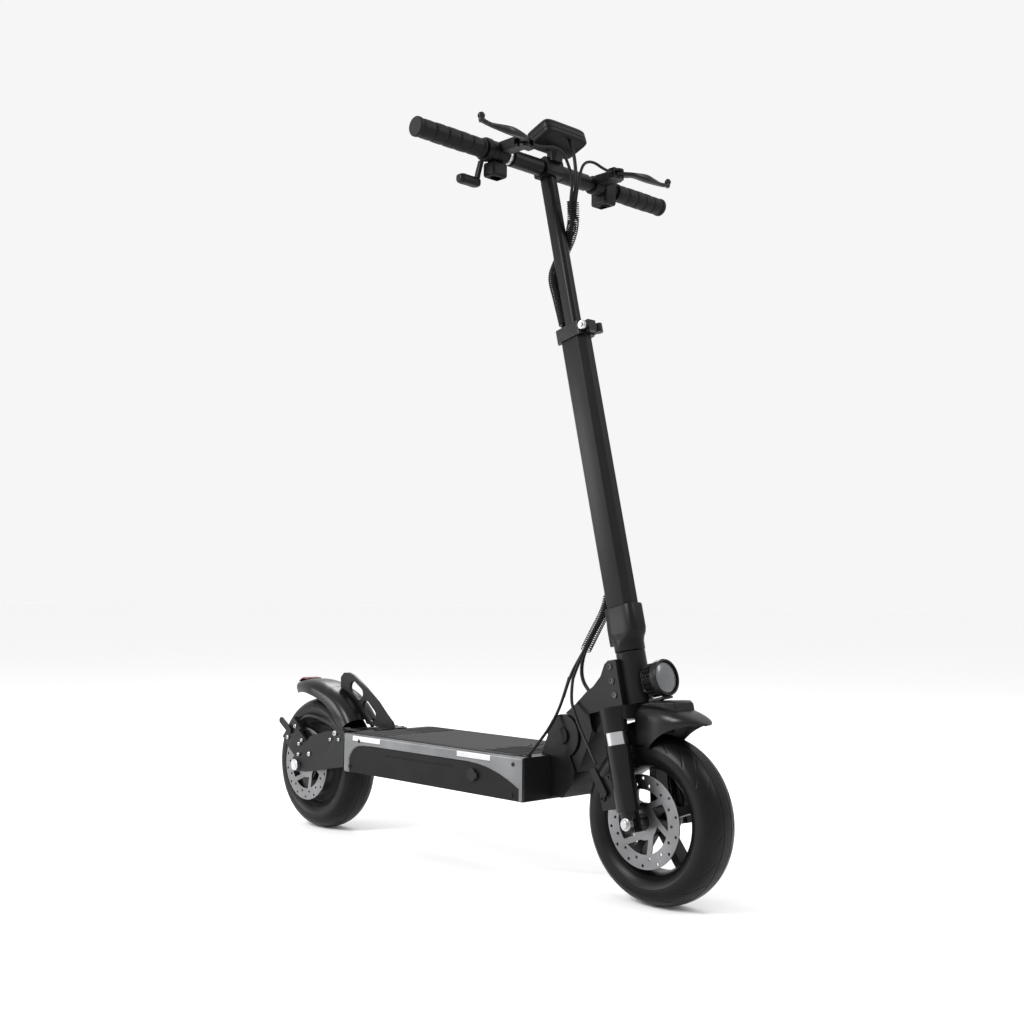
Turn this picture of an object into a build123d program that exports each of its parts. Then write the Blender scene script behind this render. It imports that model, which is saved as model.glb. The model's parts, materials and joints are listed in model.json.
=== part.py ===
"""Electric kick scooter. Millimetres; +X forward, +Y left, +Z up, floor at Z = 0 midway between the axles."""
from build123d import *
import math
import os

# Driving dimensions
AXLE_X = 431.5                    # half the wheelbase
TYRE_R = 127.5                    # ten-inch tyre
TYRE_HALF = 35.4
TREAD_HALF = 10.0                 # flat band the tyre stands on
BEAD_R = 84.0
RAKE = 13.4                       # lean of the steering axis, degrees
ROTOR_R = 70.0
ROTOR_T = 2.0
ROTOR_RING = 22.0                 # width of the braking ring
FRONT_ROTOR_Y = -37.5
REAR_ROTOR_Y = -49.5
DECK_FRONT = 236.0
DECK_REAR = -235.6
DECK_HALF = 101.5
DECK_BOTTOM = 137.6
DECK_TOP = 207.0                  # metal top; the mat lies on it
WALL = 6.0
MAT_T = 3.0
FOLD_X = 262.0                    # fold pivot
FOLD_Z = 240.0
LUG_R = 34.0
LUG_HALF = 37.0
NECK_HALF = 33.0
KNUCKLE_HALF = 15.0
LEG_Y = 61.0
LEG_U = -3.0
LEG_R = 18.5
STANCHION_R = 16.5
CROWN_TOP = 172.5                 # heights along the steering axis, from the front axle
CROWN_BOTTOM = 152.0
CLAMP_BOTTOM = 135.0              # foot of the crown's leg clamps
STANCHION_TOP = 167.0
LEG_BORE = 22.0                   # foot of the bore that the stanchion slides in
HEAD_BOTTOM = 174.0
HEAD_TOP = 255.3
HEAD_R = 23.0
STEERER_R = 14.0
SLEEVE_TOP = 329.0
STEM_TOP = 778.0
STEM_DEPTH = 54.0
STEM_WIDTH = 33.0
TUBE_DEPTH = 27.0
TUBE_WIDTH = 21.0
BAR_S = 1088.0
BAR_U = 4.7
BAR_R = 11.1
BAR_HALF = 291.0
GRIP_END = 293.6
GRIP_R = 16.0
SWING_X = -300.0                  # swing arm pivot
SWING_Z = 198.0
ARM_IN = 59.0
ARM_OUT = 72.0
PORT_X = 119.0                    # charge port on the right side of the deck
PORT_Z = 169.0
CABLE_HOLE_Y = -80.0              # where the rear brake cable goes into the deck
NECK_STOP = -62.0                 # angle at which the neck meets its stop
LAMP_S = 204.6                    # headlight, along the steering axis
FORK_TRAVEL = 18.0
CHANNEL_U = -18.5                 # cable channel down the back of the lower stem
CHANNEL_HALF = 8.9
STAND_X = 214.0                   # kickstand hinge
STAND_Y = 92.0
STAND_Z = 131.0
LEVER_Y = 113.0                   # brake lever pivots, either side
RUN_FIT = 0.05                    # radial clearance of a running fit
SLIDE_GAP = 0.3
CABLE_R = 2.5
LOOM_R = 3.0

os.makedirs("parts", exist_ok=True)
SIN = math.sin(math.radians(RAKE))
COS = math.cos(math.radians(RAKE))


def save(name, shape):
    export_step(shape, f"parts/{name}.step")


def box(x0, x1, y0, y1, z0, z1):
    centre = Pos((x0 + x1) / 2, (y0 + y1) / 2, (z0 + z1) / 2)
    return centre * Box(x1 - x0, y1 - y0, z1 - z0)


def rod_y(x, z, radius, y0, y1):
    return Pos(x, (y0 + y1) / 2, z) * Rot(90, 0, 0) * Cylinder(radius, y1 - y0)


def rod_z(x, y, radius, z0, z1):
    return Pos(x, y, (z0 + z1) / 2) * Cylinder(radius, z1 - z0)


def slab(points, y0, y1):
    """A plate whose outline lies in XZ, between two values of Y."""
    face = make_face(Polyline(*points, close=True))
    return extrude(Pos(0, y1, 0) * Rot(90, 0, 0) * face, amount=y1 - y0)


def capsule(p, q, width):
    """A flat slot shape from p to q."""
    dx = q[0] - p[0]
    dy = q[1] - p[1]
    turn = math.degrees(math.atan2(dy, dx))
    middle = Pos((p[0] + q[0]) / 2, (p[1] + q[1]) / 2)
    return middle * Rot(0, 0, turn) * SlotCenterToCenter(math.hypot(dx, dy), width)


def chain(points, widths):
    """Capsules joined end to end."""
    shape = capsule(points[0], points[1], widths[0])
    for i in range(1, len(points) - 1):
        shape += capsule(points[i], points[i + 1], widths[i])
    return shape


def arm_xz(points, widths, y0, y1):
    return extrude(Pos(0, y1, 0) * Rot(90, 0, 0) * chain(points, widths), amount=y1 - y0)


def steer(shape):
    """Places a shape built about the steering axis: X ahead of it, Z up along it from the front axle."""
    return Pos(AXLE_X, 0, TYRE_R) * Rot(0, -RAKE, 0) * shape


def stem_point(ahead, left, up):
    return (AXLE_X + ahead * COS - up * SIN, left, TYRE_R + ahead * SIN + up * COS)


BAR_X, _, BAR_Z = stem_point(BAR_U, 0, BAR_S)
PIVOT_X = BAR_X + 57              # brake lever pivots
PIVOT_Z = BAR_Z + 6


def polar(x, z, radius, degrees):
    angle = math.radians(degrees)
    return (x + radius * math.cos(angle), z + radius * math.sin(angle))


def turned(points):
    """Revolves an outline of (radius, Y) points about the Y axis."""
    return revolve(make_face(Polyline(*points, close=True)), axis=Axis.Y)


def cable(name, points, radius):
    """A round cable along straight runs joined by arcs as large as the runs allow."""
    radii = []
    for i in range(1, len(points) - 1):
        a = Vector(*points[i]) - Vector(*points[i - 1])
        b = Vector(*points[i + 1]) - Vector(*points[i])
        half = math.radians(a.get_angle(b)) / 2
        radii.append(0.45 * min(a.length, b.length) / math.tan(half))
    path = FilletPolyline(*points, radius=radii)
    tube = sweep(Plane(origin=path @ 0, z_dir=path % 0) * Circle(radius), path=path)
    expected = math.pi * radius**2 * path.length
    print(name, "length", round(path.length), "volume ratio", round(tube.volume / expected, 4))
    print("  radii", [round(r) for r in radii])
    save(name, tube)


# Deck
def deck():
    inner = DECK_HALF - WALL
    floor = box(DECK_REAR, DECK_FRONT, -inner, inner, DECK_BOTTOM, DECK_BOTTOM + 4)
    floor -= box(STAND_X - 16, DECK_FRONT + 1, STAND_Y - 14, inner + 1, DECK_BOTTOM - 1, DECK_BOTTOM + 5)
    front = box(DECK_FRONT - WALL, DECK_FRONT, -inner, inner, DECK_BOTTOM + 4, DECK_TOP - 5)
    rear = box(DECK_REAR, DECK_REAR + WALL, -inner, inner, DECK_BOTTOM + 4, DECK_TOP - 5)
    exit_hole = box(DECK_REAR - 2, DECK_REAR + 20, -89, -79, 183, 199)
    save("deck_tray", floor + front + rear - exit_hole)
    top = box(DECK_REAR, DECK_FRONT, -inner, inner, DECK_TOP - 5, DECK_TOP)
    top -= box(209, 231, CABLE_HOLE_Y - 7, CABLE_HOLE_Y + 4, DECK_TOP - 9, DECK_TOP + 3)
    save("deck_top", top)
    mat = box(-214, 208, -93, 93, DECK_TOP, DECK_TOP + MAT_T)
    save("deck_mat", chamfer(mat.faces().sort_by(Axis.Z)[-1].edges(), 1.2))
    for name, side in (("left", 1), ("right", -1)):
        y0 = min(side * inner, side * DECK_HALF)
        rail = box(DECK_REAR, DECK_FRONT, y0, y0 + WALL, DECK_BOTTOM, DECK_TOP)
        if side < 0:
            rail -= rod_y(PORT_X, PORT_Z, 8.5, -DECK_HALF - 1, 1 - inner)
            rail += charge_socket()
        else:
            rail += stand_ears()
        save(f"deck_rail_{name}", rail)
    save("battery", fillet(box(-190, 90, -72, 84, DECK_BOTTOM + 4, 198).edges(), 3))
    save("controller", fillet(box(104, 188, -20, 84, DECK_BOTTOM + 4, 180).edges(), 2))


def charge_socket():
    socket = rod_y(PORT_X, PORT_Z, 9, -DECK_HALF, -DECK_HALF + 10)
    return socket - rod_y(PORT_X, PORT_Z, 5.5, -DECK_HALF - 1, -DECK_HALF + 6)


def charge_cap():
    """A rubber lid over the charge port, on a hinge ahead of it."""
    y0 = -DECK_HALF - 2.8
    lid = rod_y(PORT_X, PORT_Z, 10.5, y0, y0 + 2.4)
    barrel = rod_z(PORT_X + 12.5, y0 + 1.2, 1.4, PORT_Z - 5, PORT_Z + 5)
    strap = box(PORT_X + 6, PORT_X + 12.5, y0, y0 + 2.0, PORT_Z - 4, PORT_Z + 4)
    save("charge_cap", lid + barrel + strap)


# Fold joint at the deck
def lug():
    """The block at the deck's front that carries the fold pin, with the stop for the neck under it."""
    stop_a = polar(FOLD_X, FOLD_Z, LUG_R - 4, -63.5)
    stop_b = polar(FOLD_X, FOLD_Z, 58, -63.5)
    nose = [(DECK_FRONT, DECK_BOTTOM + 4), (262, 142), (284, 166), stop_b, stop_a]
    nose += [(250, 225), (DECK_FRONT, 215)]
    shoulder = [(214, DECK_TOP), (227, 236), (244, 261), (262, 268), (280, 225), (DECK_FRONT, DECK_TOP)]
    body = slab(nose, -LUG_HALF, LUG_HALF) + slab(shoulder, -LUG_HALF, LUG_HALF)
    body += rod_y(FOLD_X, FOLD_Z, LUG_R, -LUG_HALF, LUG_HALF)
    body -= rod_y(FOLD_X, FOLD_Z, LUG_R + 2.5, -KNUCKLE_HALF - 0.4, KNUCKLE_HALF + 0.4)
    body -= rod_y(FOLD_X, FOLD_Z, 8, -50, 50)
    save("deck_lug", body)
    pin = rod_y(FOLD_X, FOLD_Z, 8, -LUG_HALF, LUG_HALF + 6)
    pin += rod_y(FOLD_X, FOLD_Z, 13, -LUG_HALF - 4, -LUG_HALF)
    pin += rod_y(FOLD_X, FOLD_Z, 11, LUG_HALF, LUG_HALF + 6)
    save("fold_pin", pin)


def fold_lever():
    y0 = LUG_HALF + 6.4
    cam = Pos(FOLD_X, y0 + 8, FOLD_Z) * Rot(0, 90, 0) * Cylinder(8, 14)
    handle = box(FOLD_X - 7, FOLD_X + 7, y0 + 4, y0 + 12, FOLD_Z - 62, FOLD_Z)
    save("fold_lever", fillet((cam + handle).edges().filter_by(Axis.Z), 2))


# Neck
def neck():
    """Box section from the fold pin to the head tube, cut away where the fork crown turns."""
    low = polar(FOLD_X, FOLD_Z, 62, NECK_STOP)
    outline = [(258, 271.5), (285, 291), (309, 312), (324, 322), (339, 338), (347, 357), (354, 363)]
    outline += [stem_point(-5, 0, 246)[::2], stem_point(-5, 0, HEAD_BOTTOM + 1)[::2]]
    outline += [stem_point(-48, 0, HEAD_BOTTOM + 1)[::2]]
    outline += [(323, 254), (313, 228), low, polar(FOLD_X, FOLD_Z, 30, NECK_STOP), (262, 240)]
    body = slab(outline, -NECK_HALF, NECK_HALF)
    swept = Pos(0, 0, CROWN_TOP - 48) * Cylinder(84, 98)
    narrow = slab(outline, -22, 22)
    body = (body - steer(swept)) + (narrow & steer(swept))
    body -= rod_y(FOLD_X, FOLD_Z, LUG_R + 1.5, -50, 50)
    pocket = [(262, 290), (300, 322), (340, 372), (352, 366), (346, 330), (322, 300), (300, 282), (285, 276)]
    body -= slab(pocket, -20, 20)
    knuckle = rod_y(FOLD_X, FOLD_Z, 22, -KNUCKLE_HALF, KNUCKLE_HALF)
    web = [(FOLD_X, FOLD_Z), polar(FOLD_X, FOLD_Z, 45, NECK_STOP + 3), (300, 220), polar(FOLD_X, FOLD_Z, 45, 12)]
    body += knuckle + slab(web, -KNUCKLE_HALF, KNUCKLE_HALF)
    body -= rod_y(FOLD_X, FOLD_Z, 8 + RUN_FIT, -50, 50)
    body -= steer(Pos(0, 0, 215) * Cylinder(HEAD_R, 100))
    save("neck_frame", body)
    tube = Pos(0, 0, (HEAD_BOTTOM + HEAD_TOP) / 2) * Cylinder(HEAD_R, HEAD_TOP - HEAD_BOTTOM)
    tube -= Pos(0, 0, 215) * Cylinder(STEERER_R + 3, 60)
    tube -= Pos(0, 0, 215) * Cylinder(STEERER_R + RUN_FIT, 100)
    save("head_tube", steer(tube))


def lamp_disc(radius, u0, u1):
    return Pos((u0 + u1) / 2, 0, LAMP_S) * Rot(0, 90, 0) * Cylinder(radius, u1 - u0)


def headlight():
    bracket = box(HEAD_R - 1, 34, -9, 9, LAMP_S - 14, LAMP_S + 14)
    bracket -= rod_z(0, 0, HEAD_R, LAMP_S - 30, LAMP_S + 30)
    body = bracket + lamp_disc(22, 33, 46) + lamp_disc(28.5, 45, 64)
    save("headlight", steer(body - lamp_disc(24.5, 57, 65)))
    save("headlight_lens", steer(lamp_disc(24.5, 57, 62)))


# Steering: crown, stanchions, stem
def octagon(depth, width, cut):
    u = depth / 2
    w = width / 2
    points = [(u, w - cut), (u - cut, w), (cut - u, w), (-u, w - cut)]
    points += [(-u, cut - w), (cut - u, -w), (u - cut, -w), (u, cut - w)]
    return make_face(Polyline(*points, close=True))


def prism(face, s0, s1):
    return extrude(Pos(0, 0, s0) * face, amount=s1 - s0)


def crown():
    """The bridge that clamps both stanchions, with the steerer standing on it."""
    body = prism(RectangleRounded(41, 124, 6), CROWN_BOTTOM, CROWN_TOP)
    for side in (1, -1):
        body += rod_z(LEG_U, side * LEG_Y, LEG_R + 1, CLAMP_BOTTOM, CROWN_TOP)
    for side in (1, -1):
        body -= rod_z(LEG_U, side * LEG_Y, STANCHION_R, CLAMP_BOTTOM - 8, STANCHION_TOP)
    body += rod_z(0, 0, STEERER_R, 160, 318)
    save("fork_crown", steer(body))
    bottom = LEG_BORE + FORK_TRAVEL + 2
    tubes = [rod_z(LEG_U, side * LEG_Y, STANCHION_R, bottom, STANCHION_TOP) for side in (1, -1)]
    save("stanchions", Compound(children=[steer(tube) for tube in tubes]))


def stem():
    sleeve = rod_z(0, 0, 24, HEAD_TOP + 1, 290)
    sleeve += prism(Pos(1, 0) * RectangleRounded(58, 38, 9), 280, SLEEVE_TOP)
    sleeve += slab([(-20, 270), (-34, 272), (-34, 300), (-29, SLEEVE_TOP), (-20, SLEEVE_TOP)], -8, 8)
    sleeve -= rod_z(0, 0, STEERER_R, HEAD_TOP, 318)
    sleeve -= prism(octagon(STEM_DEPTH, STEM_WIDTH, 9.6), 318, SLEEVE_TOP + 5)
    save("stem_sleeve", steer(sleeve))
    gap = 2 * SLIDE_GAP
    hole = RectangleRounded(TUBE_DEPTH + gap, TUBE_WIDTH + gap, 8)    # slides over the stem tube
    lower = prism(octagon(STEM_DEPTH, STEM_WIDTH, 9.6), 318, STEM_TOP)
    lower -= prism(hole, 300, STEM_TOP + 5)
    lower -= box(-22, -12, -CHANNEL_HALF, CHANNEL_HALF, 336, STEM_TOP + 5)
    lower -= box(-30, -14, -CHANNEL_HALF, CHANNEL_HALF, 336, 392)
    save("stem_lower", steer(lower))
    collar = prism(RectangleRounded(58, 38, 8), STEM_TOP, STEM_TOP + 23)
    collar += box(26, 40, -9, 9, STEM_TOP + 2, STEM_TOP + 21)
    collar -= prism(hole, STEM_TOP - 5, STEM_TOP + 30)
    collar -= box(-30, -12, -10, 10, STEM_TOP - 5, STEM_TOP + 30)
    collar += Pos(34, -1, STEM_TOP + 11.5) * Rot(90, 0, 0) * Cylinder(4, 27)
    collar += Pos(34, -13, STEM_TOP + 11.5) * Rot(90, 0, 0) * Cylinder(6.5, 6)
    save("clamp_collar", steer(collar))
    cam = Pos(34, 21.5, STEM_TOP + 11.5) * Cylinder(6.5, 15)
    handle = box(-26, 34, 20.5, 27, STEM_TOP + 6, STEM_TOP + 17)
    save("clamp_lever", steer(fillet((cam + handle).edges().filter_by(Axis.Z), 1.5)))


def front_fender():
    """A hood over the front tyre, pointed at its front, held on the crown."""
    outer = [(172, 10), (168, 24), (158, 36), (148, 39.6), (105, 39.6), (105, -39.6)]
    outer += [(148, -39.6), (158, -36), (168, -24), (172, -10)]
    inner = [(169, 9), (165.5, 22.5), (156, 34), (147, 37.6), (100, 37.6), (100, -37.6)]
    inner += [(147, -37.6), (156, -34), (165.5, -22.5), (169, -9)]
    shell = turned(outer) - turned(inner)
    shell = Pos(AXLE_X, 0, TYRE_R) * shell
    side_view = [stem_point(23, 0, 175)[::2], stem_point(23, 0, 136)[::2], (444, 236), (458, 240)]
    side_view += [(476, 256), (498, 266), (524, 272), (530, 280), (500, 320), (436, 330)]
    shell &= slab(side_view, -60, 60)
    pad = slab([(20.5, 155), (20.5, 172), (46, 172), (84, 165), (88, 160), (88, 150), (60, 150)], -23, 23)
    pad -= rod_y(0, 0, 168, -60, 60)
    save("front_fender", shell + steer(pad))


# Fork lowers and wheels
def fork_lowers():
    for name, side in (("left", 1), ("right", -1)):
        leg = rod_z(LEG_U, side * LEG_Y, LEG_R, 18, CLAMP_BOTTOM - FORK_TRAVEL - 1)
        leg += rod_z(LEG_U, side * LEG_Y, 14, 8, 18)
        leg += box(-11, 9, side * LEG_Y - 8, side * LEG_Y + 8, -13, 20)
        leg -= rod_z(LEG_U, side * LEG_Y, STANCHION_R + RUN_FIT, LEG_BORE, CLAMP_BOTTOM)
        leg -= Pos(0, side * LEG_Y, 0) * Rot(90, 0, 0) * Cylinder(6, 60)
        save(f"fork_leg_{name}", steer(leg))
    axle = rod_y(AXLE_X, TYRE_R, 6, -82, 82)
    for side in (1, -1):
        axle += rod_y(AXLE_X, TYRE_R, 9.5, side * 73.5 - 4.5, side * 73.5 + 4.5)
    save("front_axle", axle)


def tyre(name, x):
    section = [(BEAD_R, 18), (BEAD_R, 27), (92, 33.4), (102, TYRE_HALF), (110, 34.4), (118, 29)]
    section += [(124.2, 20.5), (TYRE_R, TREAD_HALF)]
    inside = [(118.5, 0), (116, 15), (110, 24), (101, 28), (94, 26.5)]
    points = section + [(r, -y) for r, y in reversed(section)]
    points += [(r, -y) for r, y in reversed(inside[1:])] + inside
    shape = turned(points)
    save(name, Pos(x, 0, TYRE_R) * shape)


def rim_section():
    return [(76, -12), (76, 12), (81, 24), (BEAD_R, 27), (BEAD_R, -27), (81, -24)]


def front_rim():
    ring = turned(rim_section())
    bore = 6 + RUN_FIT
    rotor_seat = FRONT_ROTOR_Y + ROTOR_T / 2 + 0.1
    hub = [(bore, -32), (bore, 32), (19, 32), (23, 24), (23, -27), (28, -30)]
    hub += [(28, rotor_seat), (bore, rotor_seat)]
    wheel = ring + turned(hub)
    for i in range(5):
        wheel += Rot(0, -72 * i - 20, 0) * box(19, 79, -13, 13, -6.5, 6.5)
    save("front_rim", Pos(AXLE_X, 0, TYRE_R) * wheel)


def rear_hub():
    half = 31.0
    points = [(7 + RUN_FIT, -half), (7 + RUN_FIT, half), (20, half), (30, 27), (62, 26), (68, 20), (76, 16)]
    points += [(81, 24), (BEAD_R, 27), (BEAD_R, -27), (81, -24), (76, -16), (68, -20), (62, -26), (34, -28)]
    points += [(34, REAR_ROTOR_Y + 1), (7 + RUN_FIT, REAR_ROTOR_Y + 1)]
    save("rear_hub", Pos(-AXLE_X, 0, TYRE_R) * turned(points))


def rotor(name, x, y):
    """A drilled disc with six arms that lean back from its hub to its ring."""
    plate = Circle(ROTOR_R) - Circle(ROTOR_R - ROTOR_RING)
    plate += Circle(27) - Circle(13)
    for i in range(6):
        plate += Rot(0, 0, 60 * i) * capsule((20, 8), (ROTOR_R - ROTOR_RING + 3, -16), 9)
    for i in range(28):
        ring = ROTOR_R - 5.5 if i % 2 else ROTOR_R - 15
        plate -= Rot(0, 0, 360 / 28 * i) * Pos(ring, 0) * Circle(2.3)
    disc = extrude(plate, amount=ROTOR_T / 2, both=True)
    save(name, Pos(x, y, TYRE_R) * Rot(90, 0, 0) * disc)


# Calipers
def front_caliper():
    body = box(-58, -22, -59, -28, 24, 74) - box(-70, 10, FRONT_ROTOR_Y - 2.2, FRONT_ROTOR_Y + 2.2, 0, 69)
    body -= rod_z(LEG_U, -LEG_Y, LEG_R, 0, 124)
    inside_rim = rod_y(0, 0, 79.5, -100, 100)
    outboard = box(-80, 0, -70, -41.5, 0, 100)
    body = (body & inside_rim) + (body & outboard)
    save("front_caliper", steer(fillet(body.edges().filter_by(Axis.Z), 1)))
    arm = arm_xz([(-46, 50), (-60, 84)], [13], -64.5, -59.6)
    save("front_caliper_arm", steer(arm))


def rear_caliper():
    body = slab([(-500, 176), (-470, 150), (-432, 192), (-462, 218)], -62, -38.5)
    body -= rod_y(-AXLE_X, TYRE_R, ROTOR_R + 3, REAR_ROTOR_Y - 2.2, REAR_ROTOR_Y + 2.2)
    body -= rod_y(-AXLE_X, TYRE_R, 45, -70, -30)
    save("rear_caliper", body)
    arm = arm_xz([(-470, 190), (-499, 208)], [13], -67, -62.4)
    save("rear_caliper_arm", arm)


# Rear end
def rear_frame():
    """The bracket behind the deck and the swing arm that pivots on it."""
    web = [(DECK_REAR, 172), (DECK_REAR, 205), (SWING_X, SWING_Z + 9), (SWING_X, SWING_Z - 9)]
    bracket = slab(web, -57, 57)
    bracket += rod_y(SWING_X, SWING_Z, 11, -57, 57)
    bracket -= rod_y(SWING_X, SWING_Z, 8 + RUN_FIT, -80, 80)
    bracket -= box(-320, -262, -44, 44, 150, 230)
    save("swing_bracket", bracket)
    arms = rod_y(SWING_X, SWING_Z, 8, -ARM_OUT, ARM_OUT)
    for side in (1, -1):
        y0 = min(side * ARM_IN, side * ARM_OUT)
        outline = [(-276, 206), (-337, 200), (-389, 186), (-402, 172), (-446, 141), (-446, 114)]
        outline += [(-402, 116), (-360, 124), (-278, 138)]
        arms += slab(outline, y0, y0 + ARM_OUT - ARM_IN)
    arms -= rod_y(-AXLE_X, TYRE_R, 7, -90, 90)
    mount = slab([(-446, 141), (-402, 172), (-436, 196), (-470, 160)], -ARM_OUT + 4, -62.2)
    arms += mount - rod_y(-AXLE_X, TYRE_R, 7, -90, 90)
    save("swing_arm", arms)
    axle = rod_y(-AXLE_X, TYRE_R, 7, -80, 80)
    for side in (1, -1):
        axle += rod_y(-AXLE_X, TYRE_R, 11, side * 75.5 - 3.5, side * 75.5 + 3.5)
    save("rear_axle", axle)


def rear_fender():
    """Hood over the rear tyre, with a short tail for the light and the pierced kick plate ahead of it."""
    outer = [(156, 12), (152, 26), (145, 36), (136, 40), (118, 40), (118, -40), (136, -40), (145, -36)]
    outer += [(152, -26), (156, -12)]
    inner = [(153, 11), (149.5, 24), (143, 34), (135, 38), (110, 38), (110, -38), (135, -38), (143, -34)]
    inner += [(149.5, -24), (153, -11)]
    shell = Pos(-AXLE_X, 0, TYRE_R) * (turned(outer) - turned(inner))
    side_view = [(-300, 213), (-344, 203), (-353, 219), (-369, 235), (-391, 249), (-418, 257), (-480, 265)]
    side_view += [(-500, 262), (-505, 300), (-430, 330), (-280, 290)]
    shell &= slab(side_view, -60, 60)
    tail = slab([(-450, 278), (-508, 261), (-514, 268), (-513, 284), (-498, 289), (-450, 288)], -24, 24)
    tail -= slab([(-440, 274), (-508, 258), (-510, 268), (-509, 281), (-497, 286), (-440, 284)], -21, 21)
    save("rear_fender", shell + tail)
    save("tail_light", slab([(-512.5, 284.3), (-498, 289.1), (-480, 288.8), (-480, 292), (-499, 292.5)], -17, 17))
    outline = [(-214, DECK_TOP), (-221, 221), (-241, 236), (-266, 257), (-305, 282), (-345, 304), (-361, 308)]
    outline += [(-377, 307), (-387, 298), (-386, 260), (-320, 214), (-262, 209.5)]
    outline += [(DECK_REAR - 2, DECK_TOP + 0.5)]
    fin = slab(outline, -3, 3)
    fin -= rod_y(-AXLE_X, TYRE_R, 156, -20, 20)
    fin += box(DECK_REAR - 1, -216, -30, 30, DECK_TOP, DECK_TOP + 4)
    for p, q in (((-344, 280), (-325, 269)), ((-302, 245), (-283, 230))):
        fin -= extrude(Pos(0, 20, 0) * Rot(90, 0, 0) * capsule(p, q, 23), amount=40)
    save("kick_fin", fin)


# Kickstand
def stand_ears():
    """Ears and hinge pin under the left side of the deck, on a foot let into its floor."""
    ears = box(STAND_X - 13, STAND_X + 13, STAND_Y - 12, STAND_Y - 7, STAND_Z - 6, DECK_BOTTOM)
    ears += box(STAND_X - 4, STAND_X + 13, STAND_Y + 7.5, STAND_Y + 9.5, STAND_Z - 6, DECK_BOTTOM + 0.5)
    ears += box(STAND_X - 13, STAND_X + 13, STAND_Y - 12, STAND_Y + 9.5, DECK_BOTTOM - 0.6, DECK_BOTTOM)
    ears += box(STAND_X - 15, DECK_FRONT, STAND_Y - 13, DECK_HALF - WALL, DECK_BOTTOM, DECK_BOTTOM + 4)
    ears += rod_y(STAND_X, STAND_Z - 1, 4, STAND_Y - 12, STAND_Y + 9.5)
    return ears


def kickstand():
    start = Vector(STAND_X + 2, STAND_Y, STAND_Z - 3)
    foot = Vector(STAND_X + 78, STAND_Y + 46, 6.5)
    leg = sweep(Plane(origin=start, z_dir=foot - start) * Circle(6), path=Line(start, foot))
    leg += rod_y(STAND_X, STAND_Z - 1, 6, STAND_Y - 6.4, STAND_Y + 6.4)
    leg += Pos(*foot) * Sphere(6.5)
    leg += Pos(foot.X, foot.Y, 2.5) * Cylinder(12, 5)
    leg -= rod_y(STAND_X, STAND_Z - 1, 4 + RUN_FIT, STAND_Y - 20, STAND_Y + 20)
    save("kickstand", leg)


# Cockpit
def cockpit():
    tube = prism(RectangleRounded(TUBE_DEPTH, TUBE_WIDTH, 7.7), 540, BAR_S - 14)
    tube -= prism(RectangleRounded(TUBE_DEPTH - 5, TUBE_WIDTH - 5, 5.5), 530, BAR_S - 20)
    head = box(-13, 22, -20, 20, BAR_S - 15, BAR_S + 16)
    head = fillet(head.edges().filter_by(Axis.Y), 6)
    save("stem_upper", steer(tube + head - rod_y(BAR_U, BAR_S, BAR_R, -30, 30)))
    bar = rod_y(BAR_X, BAR_Z, BAR_R, -BAR_HALF, BAR_HALF)
    for side in (1, -1):
        bar += rod_y(BAR_X, BAR_Z, 14.5, side * 57 - 33, side * 57 + 33)
    save("handlebar", bar - rod_y(BAR_X, BAR_Z, BAR_R - 2.5, -BAR_HALF - 1, BAR_HALF + 1))
    for name, y0, y1 in (("left", 166, GRIP_END), ("right", -GRIP_END, -154)):
        grip = rod_y(BAR_X, BAR_Z, GRIP_R, y0, y1) - rod_y(BAR_X, BAR_Z, BAR_R, -BAR_HALF, BAR_HALF)
        save(f"grip_{name}", grip)


def brakes():
    for name, side in (("left", 1), ("right", -1)):
        y0 = min(side * 106, side * 126)
        perch = rod_y(BAR_X, BAR_Z, 16, y0, y0 + 20)
        perch += box(BAR_X + 8, PIVOT_X - 3, y0, y0 + 20, PIVOT_Z - 9, PIVOT_Z + 9)
        perch += rod_z(PIVOT_X, side * LEVER_Y, 10, PIVOT_Z - 9, PIVOT_Z + 9)
        inner, outer = sorted((side * 96, side * LEVER_Y))
        perch += box(PIVOT_X - 8, PIVOT_X + 6, inner, outer, PIVOT_Z - 9, PIVOT_Z + 9)
        slot = rod_z(PIVOT_X, side * LEVER_Y, 16, PIVOT_Z - 4.7, PIVOT_Z + 4.7)
        inner, outer = sorted((side * LEVER_Y, side * 150))
        slot += box(PIVOT_X - 11, PIVOT_X + 30, inner, outer, PIVOT_Z - 4.7, PIVOT_Z + 4.7)
        perch -= slot
        perch -= rod_y(BAR_X, BAR_Z, BAR_R, -BAR_HALF, BAR_HALF)
        perch += rod_z(PIVOT_X, side * LEVER_Y, 3, PIVOT_Z - 9, PIVOT_Z + 9)
        save(f"lever_perch_{name}", perch)
        points = [(PIVOT_X, side * LEVER_Y), (PIVOT_X + 17, side * 134), (PIVOT_X + 21, side * 162)]
        points += [(PIVOT_X + 17, side * 198), (PIVOT_X + 19, side * 222)]
        blade = extrude(Pos(0, 0, PIVOT_Z - 4.2) * chain(points, [13, 12, 9, 8]), amount=8.4)
        blade += rod_z(PIVOT_X + 19, side * 224, 5, PIVOT_Z - 4.2, PIVOT_Z + 8)
        blade += Pos(PIVOT_X + 19, side * 224, PIVOT_Z + 9) * Sphere(6)
        blade -= rod_z(PIVOT_X, side * LEVER_Y, 3 + RUN_FIT, PIVOT_Z - 20, PIVOT_Z + 20)
        save(f"brake_lever_{name}", blade)


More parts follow.
